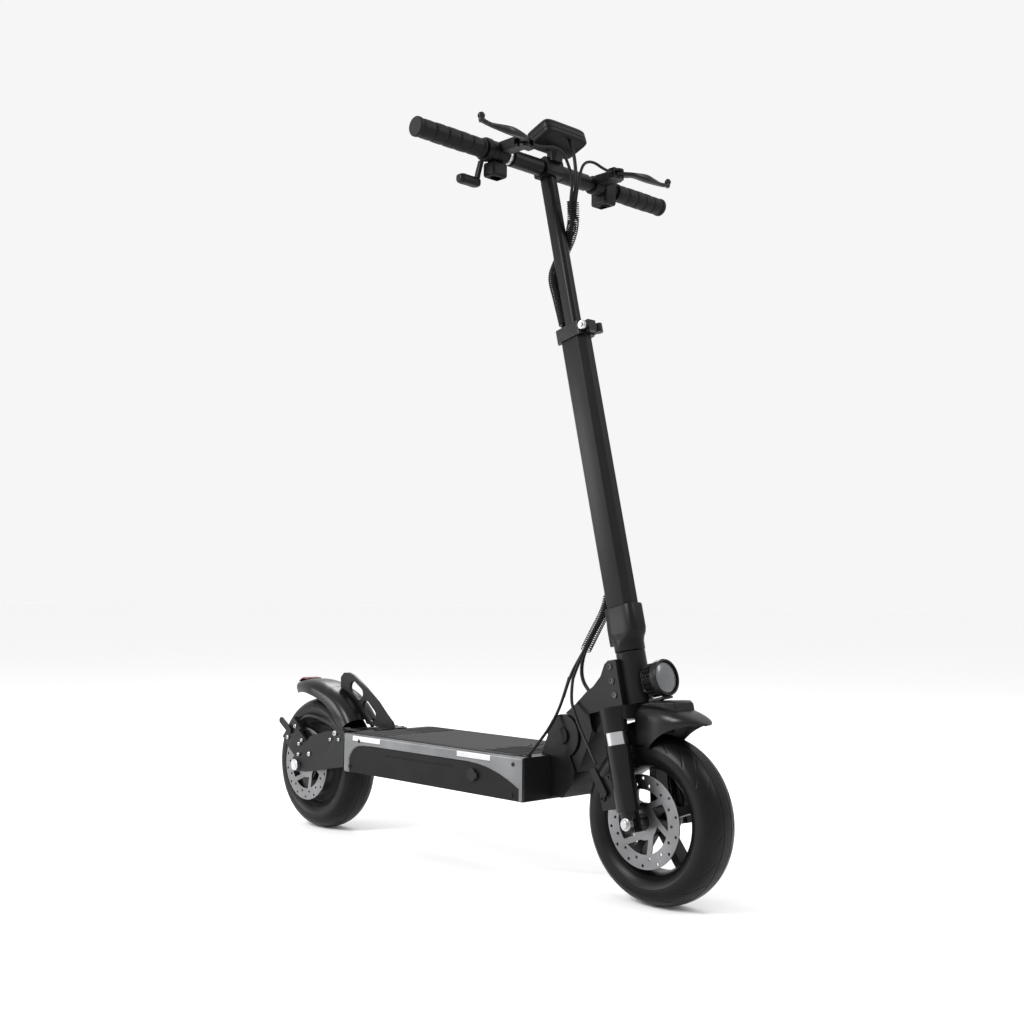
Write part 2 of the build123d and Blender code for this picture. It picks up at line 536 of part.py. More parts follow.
def throttle():
    """A drum clamped on the bar and the ring that turns beside it, with a paddle for the thumb."""
    bar = rod_y(BAR_X, BAR_Z, BAR_R, -BAR_HALF, BAR_HALF)
    drum = rod_y(BAR_X, BAR_Z, 18, -139, -128.5) + rod_y(BAR_X, BAR_Z, 15, -152, -128.5)
    drum += fillet(box(BAR_X - 15, BAR_X + 12, -139, -106, BAR_Z - 42, BAR_Z - 17).edges(), 5)
    save("throttle_body", drum - bar)
    ring = rod_y(BAR_X, BAR_Z, 19, -150.5, -139.6) - rod_y(BAR_X, BAR_Z, 15.3, -160, -130)
    arm = arm_xz([(BAR_X - 11, BAR_Z - 19), (BAR_X - 16, BAR_Z - 47)], [9], -150.5, -142)
    paddle = box(BAR_X - 27, BAR_X - 9, -188, -145, BAR_Z - 60, BAR_Z - 44)
    save("throttle_paddle", ring + arm + fillet(paddle.edges(), 5))


def switches():
    """The pod on the left of the bar, with the horn button and the light switch on its rear face."""
    pod = fillet(box(BAR_X - 24, BAR_X + 14, 129, 158, BAR_Z - 30, BAR_Z + 15).edges(), 5)
    pod -= rod_y(BAR_X, BAR_Z, BAR_R, -BAR_HALF, BAR_HALF)
    for name, z in (("horn_button", BAR_Z - 19), ("light_switch", BAR_Z - 1)):
        pod -= box(BAR_X - 30, BAR_X - 18, 138, 149, z - 5.2, z + 5.2)
        button = box(BAR_X - 26.5, BAR_X - 20, 138.4, 148.6, z - 4.8, z + 4.8)
        save(name, fillet(button.edges().filter_by(Axis.X), 2))
    save("switch_pod", pod)


def display():
    """The display case on its foot above the bar, tilted back, with the power button in one corner."""
    tilt = Pos(203, 0, 1236.5) * Rot(0, -20, 0)
    case = fillet(Box(57, 98, 26).edges().filter_by(Axis.Z), 8)
    case = fillet(case.faces().sort_by(Axis.Z)[-1].edges(), 4)
    foot = box(190, 206, -14, 14, BAR_Z + 14.8, 1234)
    body = tilt * case + foot - tilt * rod_z(-20, -34, 5.5, 1, 16)
    body -= steer(box(-40, 40, -60, 60, BAR_S - 60, BAR_S + 16))
    save("display_case", body)
    save("power_button", tilt * rod_z(-20, -34, 5.1, 4.4, 13))


# Cables
def wrap(order):
    """Points from ahead of the stem tube, round its left side, down its back and through the lower stem.

    Three cables run side by side: order 1 starts furthest left and ends furthest right."""
    left = -6 * order
    turns = [(41, 5 + 6 * order, 1014), (30, 11 + 6 * order, 987 + 6 * order), (13, 17.5, 967 + 11 * order)]
    turns += [(-6, 18, 948 + 11 * order), (-21, 12 - order, 927 + 11 * order)]
    turns += [(-26, left + 1.5, 900 + 9 * order), (-23, left + 0.5, 860)]
    turns += [(CHANNEL_U - 0.5, left, 812), (CHANNEL_U + 0.4, left, 750), (CHANNEL_U, left, 688)]
    turns += [(CHANNEL_U + 0.4, left, 626), (CHANNEL_U, left, 564), (CHANNEL_U + 0.4, left, 502)]
    turns += [(CHANNEL_U, left, 442), (CHANNEL_U + 0.4, left, 404), (CHANNEL_U - 0.5, left, 376)]
    turns += [(-25, left, 350), (-38 + 2 * order, left, 329)]
    return [stem_point(*turn) for turn in turns]


def cables():
    lever_x = PIVOT_X + 1
    front = [(lever_x, 96, PIVOT_Z), (lever_x, 78, PIVOT_Z), (234, 56, PIVOT_Z + 12), (232, 34, PIVOT_Z + 4)]
    front += [(236, 20, 1165)] + wrap(1)
    front += [(296, -7, 401), (275, -10, 364), (268, -20, 331), (278, -36, 303), (298, -48, 278)]
    front += [(320, -56, 254), (342, -62, 230), (360, -65, 208)]
    cable("front_brake_cable", front, CABLE_R)
    rear = [(lever_x, -96, PIVOT_Z), (lever_x, -78, PIVOT_Z), (246, -56, PIVOT_Z + 6), (250, -34, PIVOT_Z + 2)]
    rear += [(250, -20, 1177), (248, -7, 1152)] + wrap(-1)
    rear += [(289, 7, 403), (263, 3, 366), (249, -9, 331), (251, -24, 300), (253, -42, 272)]
    rear += [(248, -59, 246), (236, -73, 222), (225, -80, 205), (210, -83, 193), (170, -84, 188)]
    rear += [(110, -83.6, 188.4), (50, -84, 188), (-10, -83.6, 188.4), (-70, -84, 188), (-130, -83.6, 188.4)]
    rear += [(-190, -84, 188), (-248, -84, 189.5), (-300, -82, 214), (-350, -80, 226), (-396, -72, 226)]
    rear += [(-430, -60, 218), (-449, -54, 211)]
    cable("rear_brake_cable", rear, CABLE_R)
    loom = [(226, 8, 1229.6), (231, 8, 1218), (238, 7, 1196), (243, 5, 1172), (245, 4, 1148)] + wrap(0)
    loom += [(296, 0, 406), (273, 1, 373), (264, 3, 345), (268, 3, 325), (284, 2, 311)]
    cable("wiring_loom", loom, LOOM_R)


deck()
charge_cap()
lug()
fold_lever()
neck()
headlight()
crown()
stem()
front_fender()
fork_lowers()
tyre("front_tyre", AXLE_X)
tyre("rear_tyre", -AXLE_X)
front_rim()
rear_hub()
rotor("front_rotor", AXLE_X, FRONT_ROTOR_Y)
rotor("rear_rotor", -AXLE_X, REAR_ROTOR_Y)
front_caliper()
rear_caliper()
rear_frame()
rear_fender()
kickstand()
cockpit()
brakes()
throttle()
switches()
display()
cables()
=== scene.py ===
"""Looks of the electric kick scooter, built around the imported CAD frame. Metres; +X forward, +Y left, +Z up."""
import math
import json
import bpy
import bmesh
import numpy as np
from mathutils import Matrix, Vector


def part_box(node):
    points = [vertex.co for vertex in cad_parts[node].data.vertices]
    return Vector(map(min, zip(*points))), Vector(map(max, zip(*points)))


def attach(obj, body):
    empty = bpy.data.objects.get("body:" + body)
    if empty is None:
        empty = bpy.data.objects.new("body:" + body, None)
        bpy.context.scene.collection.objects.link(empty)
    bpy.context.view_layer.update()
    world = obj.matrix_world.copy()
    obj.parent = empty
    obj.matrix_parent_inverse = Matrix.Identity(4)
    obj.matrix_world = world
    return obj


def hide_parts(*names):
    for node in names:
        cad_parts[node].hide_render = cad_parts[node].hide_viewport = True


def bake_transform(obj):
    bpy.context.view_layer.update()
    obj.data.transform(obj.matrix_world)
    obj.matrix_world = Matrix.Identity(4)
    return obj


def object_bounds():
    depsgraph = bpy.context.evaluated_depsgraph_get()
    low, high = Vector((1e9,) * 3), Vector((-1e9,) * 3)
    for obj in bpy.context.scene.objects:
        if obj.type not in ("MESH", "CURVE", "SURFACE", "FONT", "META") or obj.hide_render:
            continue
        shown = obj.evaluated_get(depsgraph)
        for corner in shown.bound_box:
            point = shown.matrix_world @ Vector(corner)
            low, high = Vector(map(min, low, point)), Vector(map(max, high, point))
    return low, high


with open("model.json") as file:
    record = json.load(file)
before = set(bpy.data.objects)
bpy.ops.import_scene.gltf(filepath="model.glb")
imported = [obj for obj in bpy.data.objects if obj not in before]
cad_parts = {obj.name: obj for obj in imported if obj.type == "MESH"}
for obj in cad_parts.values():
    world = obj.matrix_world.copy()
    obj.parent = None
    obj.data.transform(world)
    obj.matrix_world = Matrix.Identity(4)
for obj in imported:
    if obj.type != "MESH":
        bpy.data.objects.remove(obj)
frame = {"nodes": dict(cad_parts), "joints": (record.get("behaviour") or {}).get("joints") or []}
cad_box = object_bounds()
JOINTS = {joint["name"]: joint for joint in frame["joints"]}
NODES = frame["nodes"]
MM = 0.001

# Places read from the frame
AXLE_F = Vector(JOINTS["front_wheel_spin"]["pos_m"])
AXLE_R = Vector(JOINTS["rear_wheel_spin"]["pos_m"])
UP = Vector(JOINTS["steer"]["axis"]).normalized()
RAKE = math.asin(-UP.x)
STEER = Matrix.Translation(AXLE_F) @ Matrix.Rotation(-RAKE, 4, "Y")
DECK_LO, DECK_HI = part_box("deck_tray")
RAIL_LO, RAIL_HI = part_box("deck_rail_left")
MAT_LO, MAT_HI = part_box("deck_mat")
BAR_LO, BAR_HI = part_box("grip_left")
BAR_X = (BAR_LO.x + BAR_HI.x) / 2
BAR_Z = (BAR_LO.z + BAR_HI.z) / 2
LEVER = {"left": Vector(JOINTS["left_lever"]["pos_m"]), "right": Vector(JOINTS["right_lever"]["pos_m"])}


# Materials
WORN = (0.16, 0.16, 0.16, 1)


def node(tree, kind, **values):
    made = tree.nodes.new(kind)
    for key, value in values.items():
        setattr(made, key, value)
    return made


def set_sockets(shader, **values):
    for name, value in values.items():
        shader.inputs[name.replace("_", " ")].default_value = value


def material(name, colour, rough, metal=0.0, grain=400.0, bump=0.15, vary=0.25, wear=0.0, coat=0.0, streak=(1, 1, 1),
             spread=0.08, level=0.5):
    """A surface with mottled colour, uneven roughness, fine grain and rubbed edges."""
    made = bpy.data.materials.new(name)
    made.use_nodes = True
    tree = made.node_tree
    link = tree.links.new
    shader = tree.nodes["Principled BSDF"]
    set_sockets(shader, Metallic=metal, Coat_Weight=coat, Coat_Roughness=0.12, Specular_IOR_Level=level)
    place = node(tree, "ShaderNodeTexCoord")
    scale = node(tree, "ShaderNodeMapping")
    scale.inputs["Scale"].default_value = streak
    link(place.outputs["Object"], scale.inputs["Vector"])
    broad = node(tree, "ShaderNodeTexNoise")
    broad.inputs["Scale"].default_value = 18.0
    broad.inputs["Detail"].default_value = 5.0
    link(place.outputs["Object"], broad.inputs["Vector"])
    fine = node(tree, "ShaderNodeTexNoise")
    fine.inputs["Scale"].default_value = grain
    fine.inputs["Detail"].default_value = 3.0
    link(scale.outputs["Vector"], fine.inputs["Vector"])
    shade = node(tree, "ShaderNodeValToRGB")
    shade.color_ramp.elements[0].color = [c * (1 - vary) for c in colour] + [1]
    shade.color_ramp.elements[1].color = [min(1, c * (1 + vary)) for c in colour] + [1]
    shade.color_ramp.elements[0].position = 0.3
    shade.color_ramp.elements[1].position = 0.7
    link(broad.outputs["Fac"], shade.inputs["Fac"])
    colour_out = shade.outputs["Color"]
    if wear:
        edges = node(tree, "ShaderNodeNewGeometry")
        rub = node(tree, "ShaderNodeMapRange")
        rub.inputs["From Min"].default_value = 0.53
        rub.inputs["From Max"].default_value = 0.62
        rub.inputs["To Max"].default_value = wear
        link(edges.outputs["Pointiness"], rub.inputs["Value"])
        mix = node(tree, "ShaderNodeMix", data_type="RGBA")
        link(rub.outputs["Result"], mix.inputs["Factor"])
        link(shade.outputs["Color"], mix.inputs["A"])
        mix.inputs["B"].default_value = WORN
        colour_out = mix.outputs["Result"]
    link(colour_out, shader.inputs["Base Color"])
    gloss = node(tree, "ShaderNodeMapRange")
    gloss.inputs["To Min"].default_value = max(0.02, rough - spread)
    gloss.inputs["To Max"].default_value = min(1, rough + spread)
    link(fine.outputs["Fac"], gloss.inputs["Value"])
    link(gloss.outputs["Result"], shader.inputs["Roughness"])
    relief = node(tree, "ShaderNodeBump")
    relief.inputs["Strength"].default_value = bump
    relief.inputs["Distance"].default_value = 0.0004
    link(fine.outputs["Fac"], relief.inputs["Height"])
    link(relief.outputs["Normal"], shader.inputs["Normal"])
    return made


MAT = {
    "paint": material("satin_black_paint", (0.0040, 0.0041, 0.0045), 0.36, grain=1500, bump=0.05, wear=0.07,
                      level=0.13),
    "leg": material("gloss_black_legs", (0.0035, 0.0035, 0.0038), 0.2, grain=1300, bump=0.03, wear=0.05, level=0.2),
    "rail": material("anodised_rail", (0.115, 0.117, 0.121), 0.4, metal=0.9, grain=700, bump=0.1, wear=0.2,
                     streak=(0.06, 1, 1), vary=0.18),
    # painted reflection: the light grey colour of the two strips on the deck sides
    "painted_reflection": material("painted_reflection_patch", (0.40, 0.40, 0.41), 0.3, grain=500, bump=0.2, vary=0.3),
    "panel": material("textured_panel", (0.0050, 0.0050, 0.0056), 0.6, grain=2200, bump=0.5, level=0.12),
    "plastic": material("moulded_plastic", (0.0035, 0.0035, 0.0038), 0.42, grain=1800, bump=0.2, spread=0.06,
                        level=0.14),
    "fender": material("fender_plastic", (0.0035, 0.0035, 0.0038), 0.3, grain=1600, bump=0.08, level=0.2),
    "rubber": material("grip_rubber", (0.0040, 0.0040, 0.0040), 0.5, grain=1500, bump=0.25, level=0.16),
    "tyre": material("tyre_rubber", (0.0035, 0.0035, 0.0036), 0.36, grain=900, bump=0.08, vary=0.35, spread=0.05,
                     level=0.13),
    "mat": material("mat_rubber", (0.0050, 0.0050, 0.0050), 0.62, grain=1600, bump=0.4, level=0.16),
    "cast": material("cast_black_metal", (0.0040, 0.0040, 0.0044), 0.36, metal=0.1, grain=900, bump=0.2, wear=0.07,
                     level=0.16),
    "steel": material("brushed_steel", (0.42, 0.42, 0.43), 0.3, metal=1.0, grain=900, bump=0.12, vary=0.12,
                      streak=(1, 1, 0.15)),
    "rotor": material("disc_steel", (0.15, 0.15, 0.154), 0.36, metal=1.0, grain=1100, bump=0.15, vary=0.22),
    "chrome": material("hard_chrome", (0.45, 0.45, 0.46), 0.18, metal=1.0, grain=300, bump=0.02, vary=0.05,
                       spread=0.03),
    "lever": material("lever_alloy", (0.0060, 0.0060, 0.0066), 0.3, metal=0.2, grain=1200, bump=0.05, wear=0.1,
                      level=0.25),
    "cable": material("cable_jacket", (0.0040, 0.0040, 0.0040), 0.42, grain=2500, bump=0.1, level=0.16),
    "gloss": material("display_gloss", (0.004, 0.004, 0.005), 0.12, grain=600, bump=0.01, coat=0.5, spread=0.03),
    "lens": material("lamp_lens", (0.085, 0.088, 0.092), 0.25, grain=500, bump=0.05, coat=0.4),
    "red": material("tail_lens", (0.09, 0.004, 0.005), 0.24, grain=500, bump=0.05, coat=0.4),
    "cells": material("battery_wrap", (0.03, 0.09, 0.22), 0.45, grain=900, bump=0.1),
}
# Material of each CAD node that stays, except the throttle paddle, which is replaced below
KEEP = {
    "deck_tray": "paint", "deck_top": "paint", "battery": "cells", "controller": "paint", "deck_lug": "paint",
    "fold_pin": "paint", "kick_fin": "paint", "swing_bracket": "paint", "charge_cap": "rubber",
    "kickstand": "paint", "fold_lever": "paint", "swing_arm": "paint", "rear_axle": "steel",
    "rear_caliper": "cast", "rear_caliper_arm": "cast", "rear_hub": "cast", "rear_rotor": "rotor",
    "neck_frame": "paint", "head_tube": "paint", "fork_crown": "paint", "stanchions": "chrome",
    "stem_lower": "paint", "clamp_collar": "cast", "clamp_lever": "cast", "fork_leg_left": "leg",
    "fork_leg_right": "leg", "front_axle": "steel", "front_caliper": "cast", "front_caliper_arm": "cast",
    "front_rim": "cast", "front_rotor": "rotor", "stem_upper": "paint", "handlebar": "paint",
    "lever_perch_left": "plastic", "lever_perch_right": "plastic", "throttle_body": "plastic",
    "switch_pod": "plastic", "throttle_paddle": "plastic", "horn_button": "red", "light_switch": "rubber",
    "power_button": "rubber",
}
# Edge rounding in mm where it is not the usual one
USUAL_BEVEL = 0.7
BEVEL = {"front_rotor": 0.15, "rear_rotor": 0.15, "deck_tray": 0.4, "deck_top": 0.4}
BEVEL_ANGLE = math.radians(35)


def smooth_by_angle(limit):
    """A node group that shades smooth everywhere but across edges sharper than the limit."""
    tree = bpy.data.node_groups.new("smooth_by_angle", "GeometryNodeTree")
    tree.interface.new_socket("Geometry", in_out="INPUT", socket_type="NodeSocketGeometry")
    tree.interface.new_socket("Geometry", in_out="OUTPUT", socket_type="NodeSocketGeometry")
    source = node(tree, "NodeGroupInput")
    result = node(tree, "NodeGroupOutput")
    faces = node(tree, "GeometryNodeSetShadeSmooth", domain="FACE")
    edges = node(tree, "GeometryNodeSetShadeSmooth", domain="EDGE")
    angle = node(tree, "GeometryNodeInputMeshEdgeAngle")
    blunt = node(tree, "FunctionNodeCompare", data_type="FLOAT", operation="LESS_THAN")
    blunt.inputs[1].default_value = math.radians(limit)
    tree.links.new(source.outputs[0], faces.inputs["Geometry"])
    tree.links.new(faces.outputs[0], edges.inputs["Geometry"])
    tree.links.new(angle.outputs["Unsigned Angle"], blunt.inputs[0])
    tree.links.new(blunt.outputs[0], edges.inputs["Shade Smooth"])
    tree.links.new(edges.outputs[0], result.inputs[0])
    return tree


SMOOTH = smooth_by_angle(45)


def soften(obj, width):
    """Rounds the sharp edges of a CAD piece with modifiers, which leave its own mesh alone."""
    weld = obj.modifiers.new("weld", "WELD")
    weld.merge_threshold = 0.00001
    flat = obj.modifiers.new("flat", "DECIMATE")
    flat.decimate_type = "DISSOLVE"
    flat.angle_limit = math.radians(0.6)
    shade = obj.modifiers.new("shade", "NODES")
    shade.node_group = SMOOTH
    edge = obj.modifiers.new("edge", "BEVEL")
    edge.width = width * MM
    edge.segments = 2
    edge.limit_method = "ANGLE"
    edge.angle_limit = BEVEL_ANGLE
    edge.use_clamp_overlap = True


for name, finish in KEEP.items():
    obj = NODES[name]
    obj.data.materials.clear()
    obj.data.materials.append(MAT[finish])
    soften(obj, BEVEL.get(name, USUAL_BEVEL))


# Mesh building
def round_point(radius, angle, height):
    """A point in metres at a radius, an angle and a height in mm."""
    return Vector((radius * MM * math.cos(angle), radius * MM * math.sin(angle), height * MM))


class Shape:
    """Gathers vertices and faces of one piece."""

    def __init__(self):
        self.verts = []
        self.faces = []
        self.marks = []

    def add(self, verts, faces):
        start = len(self.verts)
        self.verts += [tuple(v) for v in verts]
        self.faces += [tuple(start + i for i in face) for face in faces]
        self.marks += [0] * len(faces)

    def grid(self, rings, close_across=True, cap=True):
        """Joins rings of equal length, each a list of points."""
        n = len(rings[0])
        verts = [p for ring in rings for p in ring]
        faces = []
        across = n if close_across else n - 1
        for i in range(len(rings) - 1):
            for k in range(across):
                m = (k + 1) % n
                faces.append((i * n + k, i * n + m, (i + 1) * n + m, (i + 1) * n + k))
        if cap and close_across:
            faces.append(tuple(reversed(range(n))))
            faces.append(tuple((len(rings) - 1) * n + k for k in range(n)))
        self.add(verts, faces)

    def lathe(self, profile, place, count=48, cap=True, radius=None):
        """Turns (radius, height) pairs in mm about local Z."""
        rings = []
        for r, h in profile:
            ring = []
            for k in range(count):
                angle = 2 * math.pi * k / count
                size = radius(r, h, angle) if radius else r
                ring.append(place @ round_point(size, angle, h))
            rings.append(ring)
        self.grid(rings, cap=cap)

    def box(self, lo, hi, place):
        corners = [place @ Vector((x * MM, y * MM, z * MM)) for x in (lo[0], hi[0]) for y in (lo[1], hi[1])
                   for z in (lo[2], hi[2])]
        self.add(corners, [(0, 1, 3, 2), (4, 6, 7, 5), (0, 4, 5, 1), (2, 3, 7, 6), (0, 2, 6, 4), (1, 5, 7, 3)])

    def bolt(self, place, radius, height):
        """A round socket-head screw with a six-sided recess, standing up local Z."""
        count = 24
        rim = 0.18 * radius
        inner = 0.56 * radius

        def six(r, angle):
            return r / math.cos((angle + math.pi / 6) % (math.pi / 3) - math.pi / 6)

        levels = [(radius, 0, False), (radius, height - rim, False), (radius - rim, height, False),
                  (inner, height, True), (inner * 0.96, height * 0.45, True)]
        rings = []
        for r, h, hexed in levels:
            ring = []
            for k in range(count):
                angle = 2 * math.pi * k / count
                size = six(r * 0.9, angle) if hexed else r
                ring.append(place @ round_point(size, angle, h))
            rings.append(ring)
        self.grid(rings)

    def done(self, name, body, finishes, bevel=0.0, smooth=45):
        mesh = bpy.data.meshes.new(name)
        mesh.from_pydata(self.verts, [], self.faces)
        mesh.validate()
        for finish in finishes:
            mesh.materials.append(MAT[finish])
        for polygon, mark in zip(mesh.polygons, self.marks):
            polygon.material_index = mark
            polygon.use_smooth = True
        work = bmesh.new()
        work.from_mesh(mesh)
        bmesh.ops.remove_doubles(work, verts=work.verts, dist=0.000002)
        bmesh.ops.recalc_face_normals(work, faces=work.faces)
        work.to_mesh(mesh)
        work.free()
        mesh.set_sharp_from_angle(angle=math.radians(smooth))
        obj = bpy.data.objects.new(name, mesh)
        bpy.context.scene.collection.objects.link(obj)
        if bevel:
            edge = obj.modifiers.new("edge", "BEVEL")
            edge.width = bevel * MM
            edge.segments = 3
            edge.limit_method = "ANGLE"
            edge.angle_limit = BEVEL_ANGLE
        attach(obj, body)
        return obj


def facing(point, direction):
    """A place at a point in mm, with local Z along a direction."""
    turn = Vector(direction).to_track_quat("Z", "Y").to_matrix().to_4x4()
    return Matrix.Translation(Vector(point) * MM) @ turn


def on_stem(ahead, left, up, direction=(0, 0, 1)):
    """A place in the turned frame of the stem, in mm, with local Z along a direction."""
    turn = Vector(direction).to_track_quat("Z", "Y").to_matrix().to_4x4()
    return STEER @ Matrix.Translation(Vector((ahead, left, up)) * MM) @ turn


def smooth_line(points, steps=8):
    """Catmull-Rom points through a list."""
    p = [np.array(q, float) for q in points]
    p = [2 * p[0] - p[1]] + p + [2 * p[-1] - p[-2]]
    out = []
    for i in range(1, len(p) - 2):
        for k in range(steps):
            t = k / steps
            a, b, c, d = p[i - 1], p[i], p[i + 1], p[i + 2]
            out.append(0.5 * (2 * b + (c - a) * t + (2 * a - 5 * b + 4 * c - d) * t * t
                              + (3 * b - a - 3 * c + d) * t ** 3))
    out.append(p[-2])
    return out


def step(value, edge, width):
    """A smooth rise from 0 to 1 across the width at the edge."""
    t = np.clip((value - edge) / width + 0.5, 0, 1)
    return t * t * (3 - 2 * t)


def superellipse(a, b, power, count):
    """A closed ring that goes from round (power 2) to a rounded block (higher powers)."""
    ring = []
    for k in range(count):
        angle = 2 * math.pi * k / count
        c, s = math.cos(angle), math.sin(angle)
        ring.append((a * abs(c) ** (2 / power) * (1 if c >= 0 else -1),
                     b * abs(s) ** (2 / power) * (1 if s >= 0 else -1)))
    return ring


# Tyres
TYRE_INNER = (84, 17)


def tyre(name, cad, body, centre):
    """A tyre with bead lines, slanted shoulder grooves and short centre grooves."""
    outline = [TYRE_INNER, (84, 25), (87.5, 29.5), (92, 32.6), (97, 34.6), (102, 35.4), (107, 35.1), (112, 33.6),
               (116.5, 30.6), (120.5, 26.2), (123.6, 20.8), (125.7, 15), (127, 9), (127.5, 4.5)]
    half = smooth_line(outline, 5)
    profile = [tuple(p) for p in half] + [(p[0], -p[1]) for p in reversed(half)]
    count = 432
    place = Matrix.Translation(centre) @ Matrix.Rotation(math.radians(-90), 4, "X")
    rings = []
    for r, w in profile:
        ring = []
        side = abs(w)
        sign = 1 if w > 0 else -1
        rows = 0.8 * (step(side, 7.8, 0.8) - step(side, 9.6, 0.8)) if r > 110 else 0
        for bead in (95.5, 99.0, 109.5):
            rows += -0.45 * math.exp(-((r - bead) / 0.7) ** 2) if r < 118 else 0
        for k in range(count):
            angle = 2 * math.pi * k / count
            cut = rows
            if r > 112 and side > 11:
                lean = math.degrees(angle) + ((side - 11) * 0.62 + ((side - 11) / 9) ** 2) * sign
                local = lean % 18
                band = (step(local, 0.8, 0.5) - step(local, 1.7, 0.5)) * step(r, 111.5, 2) * step(side, 12.5, 1.5)
                cut += band
            if side < 6:
                local = (math.degrees(angle) + w * 0.6) % 9
                cut += 0.6 * (step(local, 0.6, 0.5) - step(local, 1.2, 0.5)) * step(6 - side, 1.5, 1.5)
            size = r - cut * (0.55 if r < 120 else 1)
            across = w - sign * cut * (0.8 if r < 120 else 0)
            ring.append(place @ round_point(size, angle, across))
        rings.append(ring)
    shape = Shape()
    shape.grid(rings, cap=False)
    inner_r, inner_w = TYRE_INNER
    inner = [[place @ round_point(inner_r, 2 * math.pi * k / count, w) for k in range(count)]
             for w in (-inner_w, inner_w)]
    shape.grid(inner, cap=False)
    made = shape.done(name, body, ["tyre"], smooth=60)
    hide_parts(cad)


tyre("front_tyre_tread", "front_tyre", "front_wheel", AXLE_F)
tyre("rear_tyre_tread", "rear_tyre", "rear_wheel", AXLE_R)


# Deck
def deck_mat():
    """Rubber mat: a raised border, chevron ribs at both ends and rows of fine ribs between them."""
    x0, x1 = MAT_LO.x * 1000, MAT_HI.x * 1000
    y1 = MAT_HI.y * 1000
    low, high = MAT_LO.z * 1000, MAT_HI.z * 1000
    xs = np.linspace(x0, x1, 300)
    ys = np.linspace(-y1, y1, 134)
    gx, gy = np.meshgrid(xs, ys, indexing="ij")
    edge = np.minimum(np.minimum(gx - x0, x1 - gx), y1 - np.abs(gy))
    border = step(edge, 4.5, 1.4) * (1 - step(edge, 8.5, 1.4))
    inside = step(edge, 12, 2)
    middle = (x0 + x1) / 2
    from_end = np.minimum(gx - x0, x1 - gx)
    near_end = 1 - step(from_end, 82, 3)
    toward = np.sign(gx - middle)
    chevron = (gx * toward + np.abs(gy) * 0.55) % 15.0
    ribs = step(chevron, 2.0, 1.3) - step(chevron, 8.0, 1.3)
    fine = (gy + 200) % 9.3
    long_ribs = step(fine, 1.6, 1.2) - step(fine, 6.2, 1.2)
    between = step(from_end, 92, 3)
    height = low + 1.2 + 0.5 * (high - low) * inside * (ribs * near_end + 0.45 * long_ribs * between) + 1.1 * border
    height = np.minimum(height, high)
    height = np.where(edge < 0.4, low, height)
    shape = Shape()
    rings = [[Vector((gx[i, j], gy[i, j], height[i, j])) * MM for j in range(len(ys))] for i in range(len(xs))]
    shape.grid(rings, close_across=False)
    made = shape.done("deck_mat_ribbed", "deck", ["mat"], smooth=70)
    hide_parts("deck_mat")


def rail(name, side):
    """Deck side: a metal band with two raised strips coloured light grey as a painted reflection, above an arched
    recess that holds a dark panel.
    """
    x0, x1 = RAIL_LO.x * 1000, RAIL_HI.x * 1000
    z0, z1 = DECK_LO.z * 1000, RAIL_HI.z * 1000
    inner = DECK_HI.y * 1000
    outer = inner + 6.0
    xs = np.linspace(x0, x1, 330)
    zs = np.linspace(z0, z1, 62)
    gx, gz = np.meshgrid(xs, zs, indexing="ij")
    ends = np.minimum(gx - x0 - 14, x1 - 8 - gx)
    crown = z0 + 51.5 - 26 * np.exp(-np.clip(gx - x0 - 14, 0, None) / 13.0)
    crown = crown - 32 * np.clip((gx - (x1 - 140)) / 132, 0, 1) ** 2.2
    inside = step(crown - gz, 0, 1.6) * step(ends, 0, 1.6)
    line = (1 - step(np.abs(gz - (z0 + 38.5)), 1.1, 0.9)) * step(gx, x0 + 122, 3) * (1 - step(gx, x0 + 306, 3))
    depth = 2.2 * inside + 1.2 * line * inside + 1.2 * (1 - step(np.minimum(z1 - gz, gz - z0), 1.0, 1.8))
    # painted reflection: two strips along the top of the band, coloured light grey
    painted_reflection = np.zeros_like(gx)
    for start, end in ((78, 162), (-211, -129)):
        near = np.minimum(np.minimum(gx - start, end - gx), 5.0 - np.abs(gz - (z1 - 7.5)))
        painted_reflection += step(near, 0.6, 1.2)
    depth = depth + 0.6 * (1 - painted_reflection) * (1 - inside)
    y = side * (outer - depth)
    tall = len(zs)
    faces = []
    marks = []
    for i in range(len(xs) - 1):
        for j in range(tall - 1):
            faces.append((i * tall + j, i * tall + j + 1, (i + 1) * tall + j + 1, (i + 1) * tall + j))
            marks.append(1 if inside[i, j] > 0.55 else 2 if painted_reflection[i, j] > 0.6 else 0)
    shape = Shape()
    shape.add([Vector((gx[i, j], y[i, j], gz[i, j])) * MM for i in range(len(xs)) for j in range(tall)], faces)
    shape.marks = marks
    back = side * inner
    for a, row in ((x0, y[0]), (x1, y[-1])):
        behind = [Vector((a, back, z)) * MM for z in zs]
        edge = [Vector((a, row[j], zs[j])) * MM for j in range(tall)]
        shape.grid([behind, edge], close_across=False)
    for j in (0, tall - 1):
        behind = [Vector((x, back, zs[j])) * MM for x in xs]
        edge = [Vector((xs[i], y[i, j], zs[j])) * MM for i in range(len(xs))]
        shape.grid([behind, edge], close_across=False)
    shape.add([Vector((x, back, z)) * MM for x, z in ((x0, z0), (x1, z0), (x1, z1), (x0, z1))], [(0, 1, 2, 3)])
    made = shape.done(f"deck_side_{name}", "deck", ["rail", "panel", "painted_reflection"], smooth=40)
    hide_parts(f"deck_rail_{name}")


deck_mat()
rail("left", 1)
rail("right", -1)


# Fenders
FENDER_THICK = 2.0


